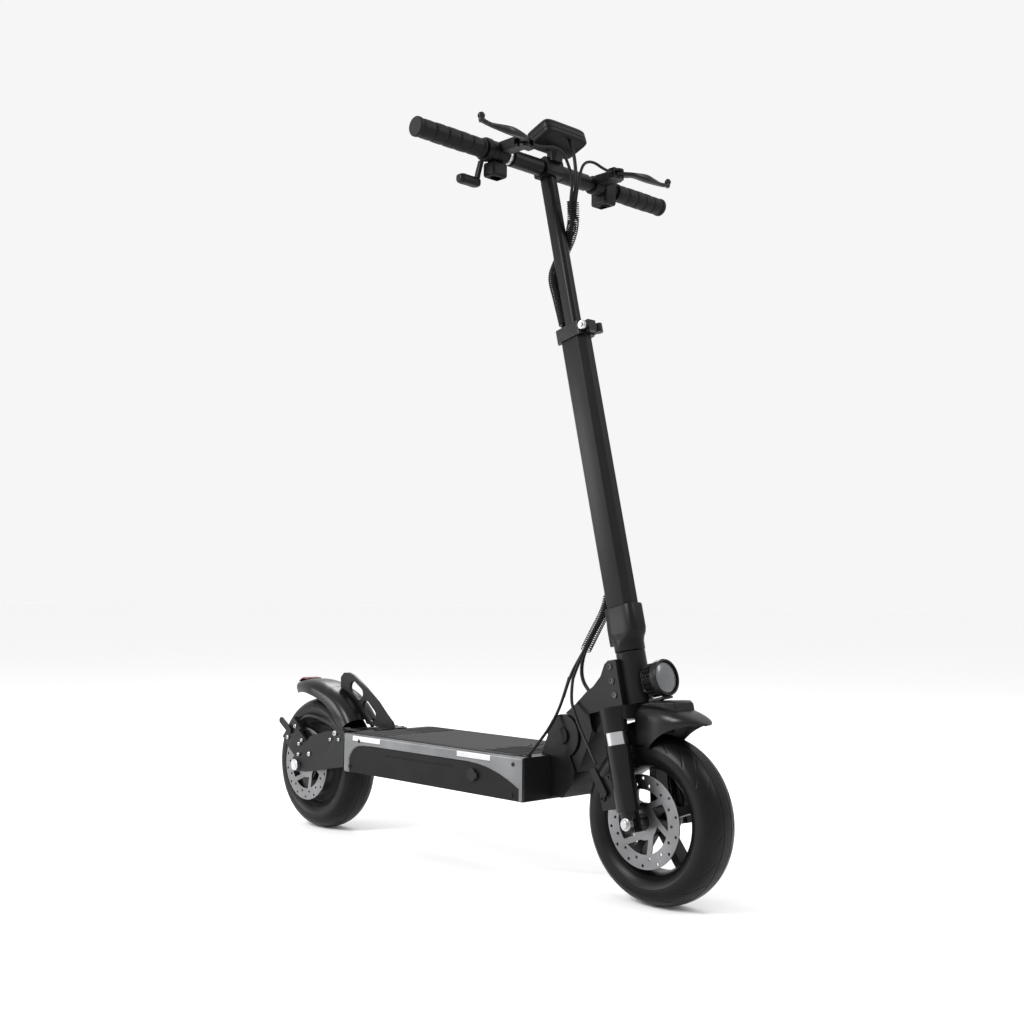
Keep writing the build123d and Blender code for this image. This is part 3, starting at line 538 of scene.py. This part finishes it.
def fender(name, cad, centre, start, end, body, half, ridge, low, count=72):
    """A thin hood: its ridge, half width and lower edge are functions of the way along it."""
    shape = Shape()
    rings = []
    across = 40
    for i in range(count + 1):
        s = i / count
        angle = math.radians(start + (end - start) * s)
        r_top = ridge(s)
        w = half(s)
        r_low = min(low(s), r_top - 0.5)
        curl = []
        for layer in (0, 1):
            line = []
            for k in range(across + 1):
                a = math.pi * (k / across - 0.5)
                shoulder = min(30, r_top - r_low)
                y = (w - layer * FENDER_THICK) * math.copysign(abs(math.sin(a)) ** 0.62, math.sin(a))
                r = r_top - layer * FENDER_THICK - shoulder * (1 - abs(math.cos(a)) ** 0.62)
                if k in (0, across):
                    r = r_low
                line.append((r, y))
            curl.append(line)
        loop = curl[0] + list(reversed(curl[1]))
        rings.append([centre + Vector((r * math.cos(angle), y, r * math.sin(angle))) * MM for r, y in loop])
    shape.grid(rings)
    made = shape.done(name, body, ["fender"], smooth=50)
    if cad:
        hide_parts(cad)


def front_half(s):
    return 39.4 * max(0.02, 1 - max(0.0, (s - 0.42) / 0.58) ** 2.4) ** 0.55


def front_low(s):
    if s < 0.3:
        return 118 - 9 * s / 0.3
    t = (s - 0.3) / 0.7
    return 109 + 66 * t ** 0.85


fender("front_fender_shell", "front_fender", AXLE_F, 96.0, 57.6, "steering", front_half,
       lambda s: 171.8 + 4.6 * s, front_low)
fender("front_fender_skirt", None, AXLE_F, 108.0, 91.0, "steering", lambda s: 39.4, lambda s: 149.0,
       lambda s: 113.0, count=24)


def rear_half(s):
    return 40.0 - 15.0 * max(0.0, (s - 0.66) / 0.34) ** 1.6


def rear_ridge(s):
    return 155.5 + 20.5 * max(0.0, (s - 0.5) / 0.5) ** 1.15


def rear_low(s):
    return 116 + 14 * min(1.0, s / 0.58) + 21 * max(0.0, (s - 0.58) / 0.42) ** 1.2


fender("rear_fender_shell", "rear_fender", AXLE_R, 37.0, 118.0, "deck", rear_half, rear_ridge, rear_low)


def fender_pad():
    """The raised pad on top of the front fender, under the headlight."""
    shape = Shape()
    rings = []
    for ahead, high, wide in ((20.5, 171.5, 22), (30, 172, 23), (46, 172, 23), (66, 168.6, 23), (84, 165, 22.4),
                              (87.6, 161.5, 21)):
        low = math.sqrt(169.5 ** 2 - ahead ** 2)
        high = max(high, low + 1.5)
        ring = [(wide, low), (wide, high - 2.5), (wide - 2.5, high), (-wide + 2.5, high), (-wide, high - 2.5),
                (-wide, low)]
        rings.append([STEER @ (Vector((ahead, y, s)) * MM) for y, s in ring])
    shape.grid(rings)
    for y in (-13, 13):
        shape.bolt(on_stem(36, y, 171.6), 3.2, 1.8)
    shape.done("front_fender_pad", "steering", ["fender"], bevel=0.6, smooth=40)


fender_pad()


def tail_lens():
    """A ribbed red lens on top of the rear fender's tail."""
    lo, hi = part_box("tail_light")
    top = [(-512.3, 285.2), (-507, 288.8), (-499, 292.3), (-490, 292.3), (-480.2, 291.8)]
    line = smooth_line(top, 10)
    shape = Shape()
    rings = []
    for i, (x, z) in enumerate(line):
        rib = 0.35 * abs(math.sin(i * math.pi / 4))
        wide = hi.y * 1000 - (1.5 if i in (0, len(line) - 1) else 0)
        ring = [(wide, z - 2.6), (wide, z - 1.1), (wide - 1.2, z - rib), (-wide + 1.2, z - rib), (-wide, z - 1.1),
                (-wide, z - 2.6)]
        rings.append([Vector((x, y, max(h, lo.z * 1000 - 1))) * MM for y, h in ring])
    shape.grid(rings)
    made = shape.done("tail_lens_ribbed", "deck", ["red"], smooth=35)
    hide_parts("tail_light")


tail_lens()


# Stem
def sleeve():
    """The stem foot: round at the steering seam, swelling to a rounded block that grips the stem."""
    shape = Shape()
    levels = [(256.4, 0, 23.0, 23.0, 2), (258, 0, 23.9, 23.9, 2), (270, 0, 24, 24, 2), (276, 0.3, 25.0, 23.2, 2.3),
              (283, 0.8, 28, 20.4, 3.4), (290, 1, 29, 19, 4.4), (326.5, 1, 29, 19, 4.4), (328.4, 1, 28.2, 18.2, 4.4),
              (329, 1, 26.8, 16.8, 4.4)]
    rings = []
    for s, middle, a, b, power in levels:
        rings.append([STEER @ (Vector((x + middle, y, s)) * MM) for x, y in superellipse(a, b, power, 96)])
    shape.grid(rings)
    plate = [(270, -33.4), (274, -34), (300, -34), (316, -31.4), (329, -28.6)]
    rings = []
    for s, rear in smooth_line(plate, 6):
        ring = [(-18, -8), (rear + 1.5, -8), (rear, -6.5), (rear, 6.5), (rear + 1.5, 8), (-18, 8)]
        rings.append([STEER @ (Vector((x, y, s)) * MM) for x, y in ring])
    shape.grid(rings)
    made = shape.done("stem_foot", "steering", ["paint"], bevel=0.5, smooth=35)
    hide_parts("stem_sleeve")


sleeve()


# Headlight
def headlight():
    lo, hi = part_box("headlight_lens")
    local = STEER.inverted() @ ((lo + hi) / 2)
    place = STEER @ Matrix.Translation((0, 0, local.z)) @ Matrix.Rotation(math.radians(90), 4, "Y")
    shape = Shape()
    profile = [(8, 30), (19, 31)]
    for i in range(6):
        x = 33 + i * 3.2
        profile += [(25.5, x), (26.2, x + 0.4), (26.2, x + 1.2), (25.5, x + 1.6), (21.5, x + 1.7), (21.5, x + 3.1)]
    profile += [(26.5, 52.6), (28.4, 53.6), (28.5, 61.5), (27.8, 63.6), (26.2, 64.0), (25.0, 63.2), (24.4, 60.0)]

    def toothed(r, h, angle):
        if 24 < r < 27 and h < 51:
            return r - 2.2 * (0.5 + 0.5 * math.copysign(1, math.sin(angle * 18)))
        return r

    shape.lathe(profile, place, 144, radius=toothed)
    shape.box((20, -10, local.z * 1000 - 15), (34, 10, local.z * 1000 + 15), STEER)
    shape.box((30, -12, local.z * 1000 - 31.2), (58, 12, local.z * 1000 - 28), STEER)
    made = shape.done("headlight_shell", "neck", ["cast"], smooth=35)
    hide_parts("headlight")
    lens = Shape()
    lens.lathe([(24.3, 58.4), (24.3, 60.2), (22, 61.6), (16, 62.9), (8, 63.6), (0.5, 63.8)], place, 96)
    screws = Shape()
    for left in (-7, 7):
        screws.bolt(on_stem(29, left, local.z * 1000 + 14.8), 2.6, 1.6)
    screws.done("headlight_screws", "neck", ["cast"], smooth=35)
    shown = lens.done("headlight_glass", "neck", ["lens"], smooth=60)
    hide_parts("headlight_lens")


headlight()


# Cockpit
def grip(name, side):
    lo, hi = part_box(f"grip_{name}")
    inner = min(abs(lo.y), abs(hi.y)) * 1000
    outer = max(abs(lo.y), abs(hi.y)) * 1000
    length = outer - inner
    place = facing((BAR_X * 1000, side * inner, BAR_Z * 1000), (0, side, 0))
    profile = [(11.4, 0), (15.6, 0), (16, 0.8), (16, 3.4), (15.4, 4.2)]
    for i in range(1, 120):
        t = i / 120
        h = 4.2 + (length - 12) * t
        part = (t * 5) % 1.0
        swell = 14.1 + 0.9 * math.sin(math.pi * t) + 0.9 * math.sin(math.pi * part) ** 0.5
        groove = 1.5 * math.exp(-(min(part, 1 - part) / 0.05) ** 2)
        rib = 0.18 * math.sin(h * 2.4)
        profile.append((min(15.9, swell - groove + rib), h))
    profile += [(15.2, length - 7), (16, length - 5.8), (16, length - 1.5), (14.8, length), (4, length)]
    shape = Shape()
    shape.lathe(profile, place, 72)
    made = shape.done(f"grip_{name}_ribbed", "cockpit", ["rubber"], smooth=50)
    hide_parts(f"grip_{name}")


grip("left", 1)
grip("right", -1)


def blade(name, side):
    """Brake lever: a blade that narrows to a ball tip, curved forward then back toward the grip."""
    pivot = LEVER[name] * 1000
    points = [(0, 0, 0), (9, 10, 0), (17, 22, 0), (21, 48, 0), (19.5, 70, 0), (17.5, 88, 0.3), (18.5, 104, 1.4),
              (19.2, 110, 4.0)]
    sizes = [(8.5, 4.2), (8.0, 4.2), (6.8, 4.2), (6.6, 6.6), (5.2, 5.2), (4.3, 3.5), (4.2, 3.4), (4.2, 3.4)]
    line = smooth_line(points, 8)
    size = smooth_line(sizes, 8)
    rings = []
    for i, p in enumerate(line):
        ahead = line[min(i + 1, len(line) - 1)] - line[max(i - 1, 0)]
        ahead = ahead / np.linalg.norm(ahead)
        across = np.array([ahead[1], -ahead[0], 0])
        across = across / np.linalg.norm(across)
        ring = []
        for a, b in superellipse(size[i][0], size[i][1], 2.8, 28):
            q = p + across * a + np.array([0, 0, 1]) * b
            ring.append(Vector((pivot.x + q[0], pivot.y + side * q[1], pivot.z + q[2])) * MM)
        rings.append(ring)
    shape = Shape()
    shape.grid(rings)
    tip = Matrix.Translation(Vector((pivot.x + 19, pivot.y + side * 111, pivot.z + 8.6)) * MM)
    shape.lathe([(3.6, -10), (4.4, -6), (4.4, 0)], tip, 28)
    ball = [(6 * math.cos(a), 6 * math.sin(a)) for a in np.linspace(-1.5, 1.5, 17)]
    shape.lathe(ball, tip, 36)
    hub = Matrix.Translation(pivot * MM)
    shape.lathe([(6.4, -4.2), (7, -3.6), (7, 3.6), (6.4, 4.2)], hub, 36)
    made = shape.done(f"brake_blade_{name}", f"brake_lever_{name}", ["lever"], smooth=50)
    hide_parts(f"brake_lever_{name}")


blade("left", 1)
blade("right", -1)


def paddle():
    """The throttle's ring round the bar, its bent arm and a rounded thumb pad."""
    middle = Vector((BAR_X, 0, BAR_Z)) * 1000
    shape = Shape()
    ring = [(15.4, 0), (18.4, 0), (19, 0.6), (19, 4.6), (18.4, 5.2), (18.4, 5.8), (19, 6.4), (19, 10.2), (18.4, 10.8),
            (15.4, 10.8), (15.4, 0)]
    shape.lathe(ring, facing((middle.x, -139.7, middle.z), (0, -1, 0)), 64, cap=False,
                radius=lambda r, h, a: r - 0.5 * (r > 18.9) * (math.sin(a * 20) > 0.6))
    arm = smooth_line([(-10, -146.5, -17), (-13, -146.5, -25), (-16, -147.5, -36), (-17, -149, -46)], 6)
    rings = []
    for x, y, z in arm:
        rings.append([Vector((middle.x + x + a, y + b, middle.z + z)) * MM for a, b in superellipse(5, 3.8, 3, 28)])
    shape.grid(rings)
    rings = []
    for y, size in ((-145, 0.62), (-145.8, 0.8), (-148, 0.92), (-153, 1), (-166, 1), (-178, 1), (-184, 0.92),
                    (-187, 0.74), (-188, 0.5)):
        rib = 0.96 if y == -166 else 1
        ring = [Vector((middle.x - 18 + x, y, middle.z - 52 + z)) * MM
                for x, z in superellipse(9 * size * rib, 8 * size * rib, 3.2, 36)]
        rings.append(ring)
    shape.grid(rings)
    made = shape.done("throttle_thumb_paddle", "throttle_paddle", ["plastic"], smooth=45)
    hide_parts("throttle_paddle")


paddle()


def display():
    """The display case on its foot: a deep tilted housing with grooves round its front, and a glossy screen."""
    place = Matrix.Translation((0.203, 0, 1.2365)) @ Matrix.Rotation(math.radians(-20), 4, "Y")
    levels = [(-13, 24, 44.5), (-11.8, 27, 47.4), (-9.5, 28.3, 48.8), (-5.4, 28.4, 48.9), (-4.9, 27.6, 48.1),
              (-3.9, 27.6, 48.1), (-3.4, 28.5, 49), (4.2, 28.5, 49), (4.7, 27.8, 48.3), (5.7, 27.8, 48.3),
              (6.2, 28.5, 49), (9, 28.3, 48.8), (11.6, 27.0, 47.4), (12.9, 25.0, 45.4), (13, 24.2, 44.6),
              (12.2, 23.8, 44.2), (12.2, 1, 1)]
    shape = Shape()
    shape.grid([[place @ (Vector((x, y, z)) * MM) for x, y in superellipse(a, b, 7, 120)] for z, a, b in levels])
    rings = []
    for z, a, b in ((1198, 8, 13), (1214, 8, 14), (1232, 9, 16)):
        rings.append([Vector((198 + x, y, z)) * MM for x, y in superellipse(a, b, 5, 48)])
    shape.grid(rings)
    shape.lathe([(14.5, -12), (15, -11.5), (15, 11.5), (14.5, 12)],
                facing((BAR_X * 1000, 0, BAR_Z * 1000), (0, 1, 0)), 48)
    made = shape.done("display_housing", "cockpit", ["plastic"], smooth=40)
    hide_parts("display_case")
    screen = Shape()
    levels = [(11.9, 23.6, 44.0), (12.6, 23.6, 44.0), (12.8, 23.0, 43.4), (12.8, 1, 1)]
    screen.grid([[place @ (Vector((x, y, z)) * MM) for x, y in superellipse(a, b, 7, 120)] for z, a, b in levels])
    screen.done("display_screen", "cockpit", ["gloss"], smooth=40)


display()


# Cables
def route(name, points, radius, finish="cable", fineness=(10, 5)):
    """A round cable on a smooth line through its control points, in mm."""
    curve = bpy.data.curves.new(name, "CURVE")
    curve.dimensions = "3D"
    curve.resolution_u = fineness[0]
    curve.bevel_depth = radius * MM
    curve.bevel_resolution = fineness[1]
    curve.use_fill_caps = True
    spline = curve.splines.new("NURBS")
    spline.points.add(len(points) - 1)
    for i, p in enumerate(points):
        spline.points[i].co = (p[0] * MM, p[1] * MM, p[2] * MM, 1)
    spline.order_u = 3
    spline.use_endpoint_u = True
    holder = bpy.data.objects.new(name + "_line", curve)
    bpy.context.scene.collection.objects.link(holder)
    bpy.context.view_layer.update()
    mesh = bpy.data.meshes.new_from_object(holder)
    bpy.data.objects.remove(holder)
    mesh.name = name
    mesh.materials.clear()
    mesh.materials.append(MAT[finish])
    for polygon in mesh.polygons:
        polygon.use_smooth = True
    obj = bpy.data.objects.new(name, mesh)
    bpy.context.scene.collection.objects.link(obj)
    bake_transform(obj)
    return obj


def stem_mm(ahead, left, up):
    return tuple((STEER @ (Vector((ahead, left, up)) * MM)) * 1000)


# Cable channel down the back of the lower stem, in mm ahead of the steering axis
CHANNEL_U = -18.5


def wrap(order):
    """From ahead of the stem tube, round its left side and down its back into the lower stem."""
    left = -6 * order
    turns = [(41, 5 + 6 * order, 1014), (30, 11 + 6 * order, 987 + 6 * order), (13, 17.5, 967 + 11 * order)]
    turns += [(-6, 18, 948 + 11 * order), (-21, 12 - order, 927 + 11 * order)]
    turns += [(-26, left + 1.5, 900 + 9 * order), (-23, left + 0.5, 860)]
    turns += [(CHANNEL_U - 0.5, left, 812), (CHANNEL_U + 0.4, left, 750), (CHANNEL_U, left, 688)]
    return [stem_mm(*turn) for turn in turns]


def foot(order):
    """Out of the opening low on the back of the stem."""
    left = -6 * order
    turns = [(CHANNEL_U, left, 442), (CHANNEL_U + 0.4, left, 404), (CHANNEL_U - 0.5, left, 376), (-25, left, 350),
             (-38 + 2 * order, left, 329)]
    return [stem_mm(*turn) for turn in turns]


def spiral(name, points, radius, wire, pitch):
    """A ribbed wrap: a fine helix wound round a bundle."""
    line = smooth_line(points, 10)
    length = 0
    turns = []
    for a, b in zip(line[:-1], line[1:]):
        ahead = Vector(b - a)
        side = ahead.cross(Vector((0, 1, 0))).normalized()
        other = ahead.cross(side).normalized()
        for k in range(12):
            along = length + ahead.length * k / 12
            angle = 2 * math.pi * along / pitch
            out = side * math.cos(angle) + other * math.sin(angle)
            turns.append(tuple(Vector(a) + ahead * k / 12 + out * radius))
        length += ahead.length
    route(name, turns, wire, finish="rubber", fineness=(2, 1))


def cables():
    lever_x = LEVER["left"].x * 1000 + 1
    lever_z = LEVER["left"].z * 1000
    front = [(lever_x, 96, lever_z), (lever_x, 78, lever_z), (234, 56, lever_z + 12), (232, 34, lever_z + 4)]
    front += [(236, 20, 1165)] + wrap(1)
    rear = [(lever_x, -96, lever_z), (lever_x, -78, lever_z), (246, -56, lever_z + 6), (250, -34, lever_z + 2)]
    rear += [(250, -20, 1177), (248, -7, 1152)] + wrap(-1)
    loom = [(226, 8, 1229.6), (231, 8, 1218), (238, 7, 1196), (243, 5, 1172), (245, 4, 1148)] + wrap(0)
    for name, points, radius, cad in (("front_brake", front, 2.5, "front_brake_cable"),
                                      ("rear_brake", rear, 2.5, "rear_brake_cable"),
                                      ("loom", loom, 3.0, "wiring_loom")):
        piece = route(f"{name}_cable_top", points, radius)
        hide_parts(cad)
    spiral("bundle_wrap_top", wrap(0)[:8], 9.6, 1.1, 3.4)
    front = foot(1) + [(296, -7, 401), (275, -10, 364), (268, -20, 331)]
    route("front_brake_cable_foot", front, 2.5)
    front = [(268, -20, 331), (278, -36, 303), (298, -48, 278), (320, -56, 254)]
    route("front_brake_cable_bend", front, 2.5)
    front = [(320, -56, 254), (342, -62, 230), (360, -65, 208)]
    route("front_brake_cable_end", front, 2.5)
    rear = foot(-1) + [(289, 7, 403), (263, 3, 366), (249, -9, 331), (251, -24, 300)]
    route("rear_brake_cable_foot", rear, 2.5)
    rear = [(249, -9, 331), (251, -24, 300), (253, -42, 272), (248, -59, 246), (236, -73, 222), (225, -80, 205)]
    rear += [(210, -83, 193)]
    route("rear_brake_cable_deck", rear, 2.5)
    rear = [(-190, -84, 188), (-248, -84, 189.5), (-300, -82, 214), (-350, -80, 226), (-396, -72, 226)]
    rear += [(-430, -60, 218), (-449, -54, 211)]
    route("rear_brake_cable_tail", rear, 2.5)
    loom = foot(0) + [(296, 0, 406), (273, 1, 373), (264, 3, 345), (268, 3, 325), (282, 2, 311), (293, 1, 303)]
    loom += [(304, 0, 297)]
    route("loom_cable_foot", loom, 3.0)
    spiral("bundle_wrap_foot", foot(0)[3:] + [(296, 0, 405), (276, 1, 376)], 8.4, 0.9, 3.8)
    boots = Shape()
    boots.lathe([(2.6, 0), (4.2, 1), (5.6, 9), (6.4, 17), (6.4, 20), (2.6, 20)],
                facing((229.5, -77.5, 212), (-0.42, -0.26, -0.87)), 32)
    boots.done("deck_cable_boot", "deck", ["rubber"], smooth=40)


cables()


# Fixings
def bolts(name, body, places, finish):
    """A group of socket-head screws: each place has a point, a direction, a radius and a height."""
    shape = Shape()
    for point, direction, radius, height in places:
        shape.bolt(facing(point, direction), radius, height)
    shape.done(name, body, [finish], smooth=35)


def fixings():
    sides = (1, -1)
    neck = ((358.8, 353.3), (363.5, 332), (369.4, 310.9))
    bolts("neck_screws", "neck", [((x, side * 33, z), (0, side, 0), 5.3, 1.9) for x, z in neck for side in sides],
          "gloss")
    shape = Shape()
    for s, u in ((317, -25.5), (298, -27.5), (280, -27.5)):
        for side in sides:
            shape.bolt(on_stem(u, side * 8, s, (0, side, 0)), 3.4, 1.8)
    shape.done("stem_pinch_screws", "steering", ["cast"], smooth=35)
    deck = ((215.1, 195.2), (210.7, 146.5), (-219.3, 148.5), (-191, 196))
    bolts("deck_screws", "deck", [((x, side * 101.2, z), (0, side, 0), 3.4, 0.9) for x, z in deck for side in sides],
          "cast")
    arm = ((-304, 199, 5.2), (-293, 188, 3.4), (-320, 186, 3.4), (-389, 152, 4.5))
    bolts("swing_arm_bolts", "swing_arm",
          [((x, side * 72, z), (0, side, 0), r, 0.8 * r) for x, z, r in arm for side in sides], "steel")
    bolts("rear_caliper_bolts", "swing_arm",
          [((x, -62, z), (0, -1, 0), 4.0, 4) for x, z in ((-452, 200), (-478, 176))], "steel")
    bolts("rear_mount_bolts", "swing_arm",
          [((x, y, z), (0, -1, 0), 3.6, 4.5) for x, y, z in ((-428, -68, 168), (-419, -68, 176), (-424, -72, 148))],
          "steel")
    bolts("front_caliper_bolts", "fork_lower",
          [((x, -59, z), (0, -1, 0), 4.5, 3) for x, z in ((384, 190.2), (370.9, 156.3))], "cast")
    collar = on_stem(34, -16, 789.5, (0, -1, 0))
    shape = Shape()
    shape.lathe([(6.9, 0), (7.6, 0.8), (7.6, 4.6), (6.9, 5.4), (4.4, 5.4), (4.4, 7.2), (3.6, 8.0)], collar, 40,
                radius=lambda r, h, a: r * (1 - 0.05 * (math.sin(a * 14) > 0)) if r > 6 else r)
    shape.done("collar_nut", "steering", ["steel"], smooth=35)
    ring = Shape()
    ring.lathe([(11.3, 0), (13.4, 0.4), (13.8, 1.2), (13.8, 5.2), (13.4, 6), (11.3, 6.4)],
               facing((BAR_X * 1000, -95, BAR_Z * 1000), (0, -1, 0)), 48)
    ring.done("bar_ring", "cockpit", ["steel"], smooth=35)
    for name, centre, body, reach in (("front", AXLE_F, "fork_lower", "front_axle"),
                                      ("rear", AXLE_R, "swing_arm", "rear_axle")):
        lo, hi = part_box(reach)
        shape = Shape()
        for side, end in ((1, hi.y), (-1, lo.y)):
            dome = [(8.6, -2.5), (8.6, 0)] + [(6.6 * math.cos(a), 6.6 * math.sin(a) * 0.45)
                                              for a in np.linspace(0, 1.5, 8)]
            dome = [(r, h - 3.0) for r, h in dome]
            shape.lathe(dome, facing((centre.x * 1000, end * 1000, centre.z * 1000), (0, side, 0)), 48,
                        radius=lambda r, h, a: r * (1 - 0.04 * abs(math.sin(a * 3))) if r > 7 else r)
        shape.done(f"{name}_axle_nuts", body, ["steel"], smooth=35)


fixings()


# Studio
FLOOR_HALF = 60
floor_mesh = bpy.data.meshes.new("floor")
floor_mesh.from_pydata([(-FLOOR_HALF, -FLOOR_HALF, 0), (FLOOR_HALF, -FLOOR_HALF, 0), (FLOOR_HALF, FLOOR_HALF, 0),
                        (-FLOOR_HALF, FLOOR_HALF, 0)], [], [(0, 1, 2, 3)])
floor = bpy.data.objects.new("floor", floor_mesh)
floor_finish = bpy.data.materials.new("floor_paper")
floor_finish.use_nodes = True
set_sockets(floor_finish.node_tree.nodes["Principled BSDF"], Base_Color=(0.90, 0.90, 0.90, 1), Roughness=0.9)
floor_mesh.materials.append(floor_finish)
bpy.context.scene.collection.objects.link(floor)
bpy.context.scene.view_settings.view_transform = "Standard"

world = bpy.data.worlds.new("studio")
bpy.context.scene.world = world
world.use_nodes = True
set_sockets(world.node_tree.nodes["Background"], Color=(0.97, 0.97, 0.97, 1), Strength=0.95)
MIDDLE = (Vector(cad_box[0]) + Vector(cad_box[1])) / 2


def soft_light(name, offset, size, watts):
    lamp = bpy.data.lights.new(name, "AREA")
    lamp.energy = watts
    lamp.shape = "RECTANGLE"
    lamp.size = size[0]
    lamp.size_y = size[1]
    holder = bpy.data.objects.new(name, lamp)
    holder.location = MIDDLE + Vector(offset)
    holder.rotation_euler = (-Vector(offset)).to_track_quat("-Z", "Y").to_euler()
    bpy.context.scene.collection.objects.link(holder)


soft_light("key", (-0.3, -2.4, 1.5), (0.7, 1.3), 85)
soft_light("front", (2.4, 1.4, 1.9), (0.5, 1.6), 26)
soft_light("back", (-1.9, 1.6, 1.7), (0.8, 1.2), 30)
soft_light("side", (-2.9, -2.9, 0.3), (0.7, 1.5), 60)
sky = bpy.data.objects.new("sky", bpy.data.lights.new("sky", "SUN"))
sky.data.energy = 0.3
sky.data.angle = math.radians(100)
bpy.context.scene.collection.objects.link(sky)

# Camera, fitted to the photo
TURN = math.radians(46.617)
RISE = math.radians(-3.79)
ROLL = math.radians(0.55)
CAMERA_AT = (1.69085, -1.50301, 0.46122)
back = Vector((math.sin(TURN) * math.cos(RISE), -math.cos(TURN) * math.cos(RISE), math.sin(RISE)))
right = (-back).cross(Vector((0, 0, 1))).normalized()
above = right.cross(-back)
camera_x = math.cos(ROLL) * right + math.sin(ROLL) * above
camera_y = -math.sin(ROLL) * right + math.cos(ROLL) * above
camera = bpy.data.objects.new("camera", bpy.data.cameras.new("camera"))
camera.data.lens = 44.69
camera.data.sensor_width = 36
camera.matrix_world = Matrix.Translation(CAMERA_AT) @ Matrix((camera_x, camera_y, back)).transposed().to_4x4()
bpy.context.scene.collection.objects.link(camera)
bpy.context.scene.camera = camera

bpy.context.view_layer.update()
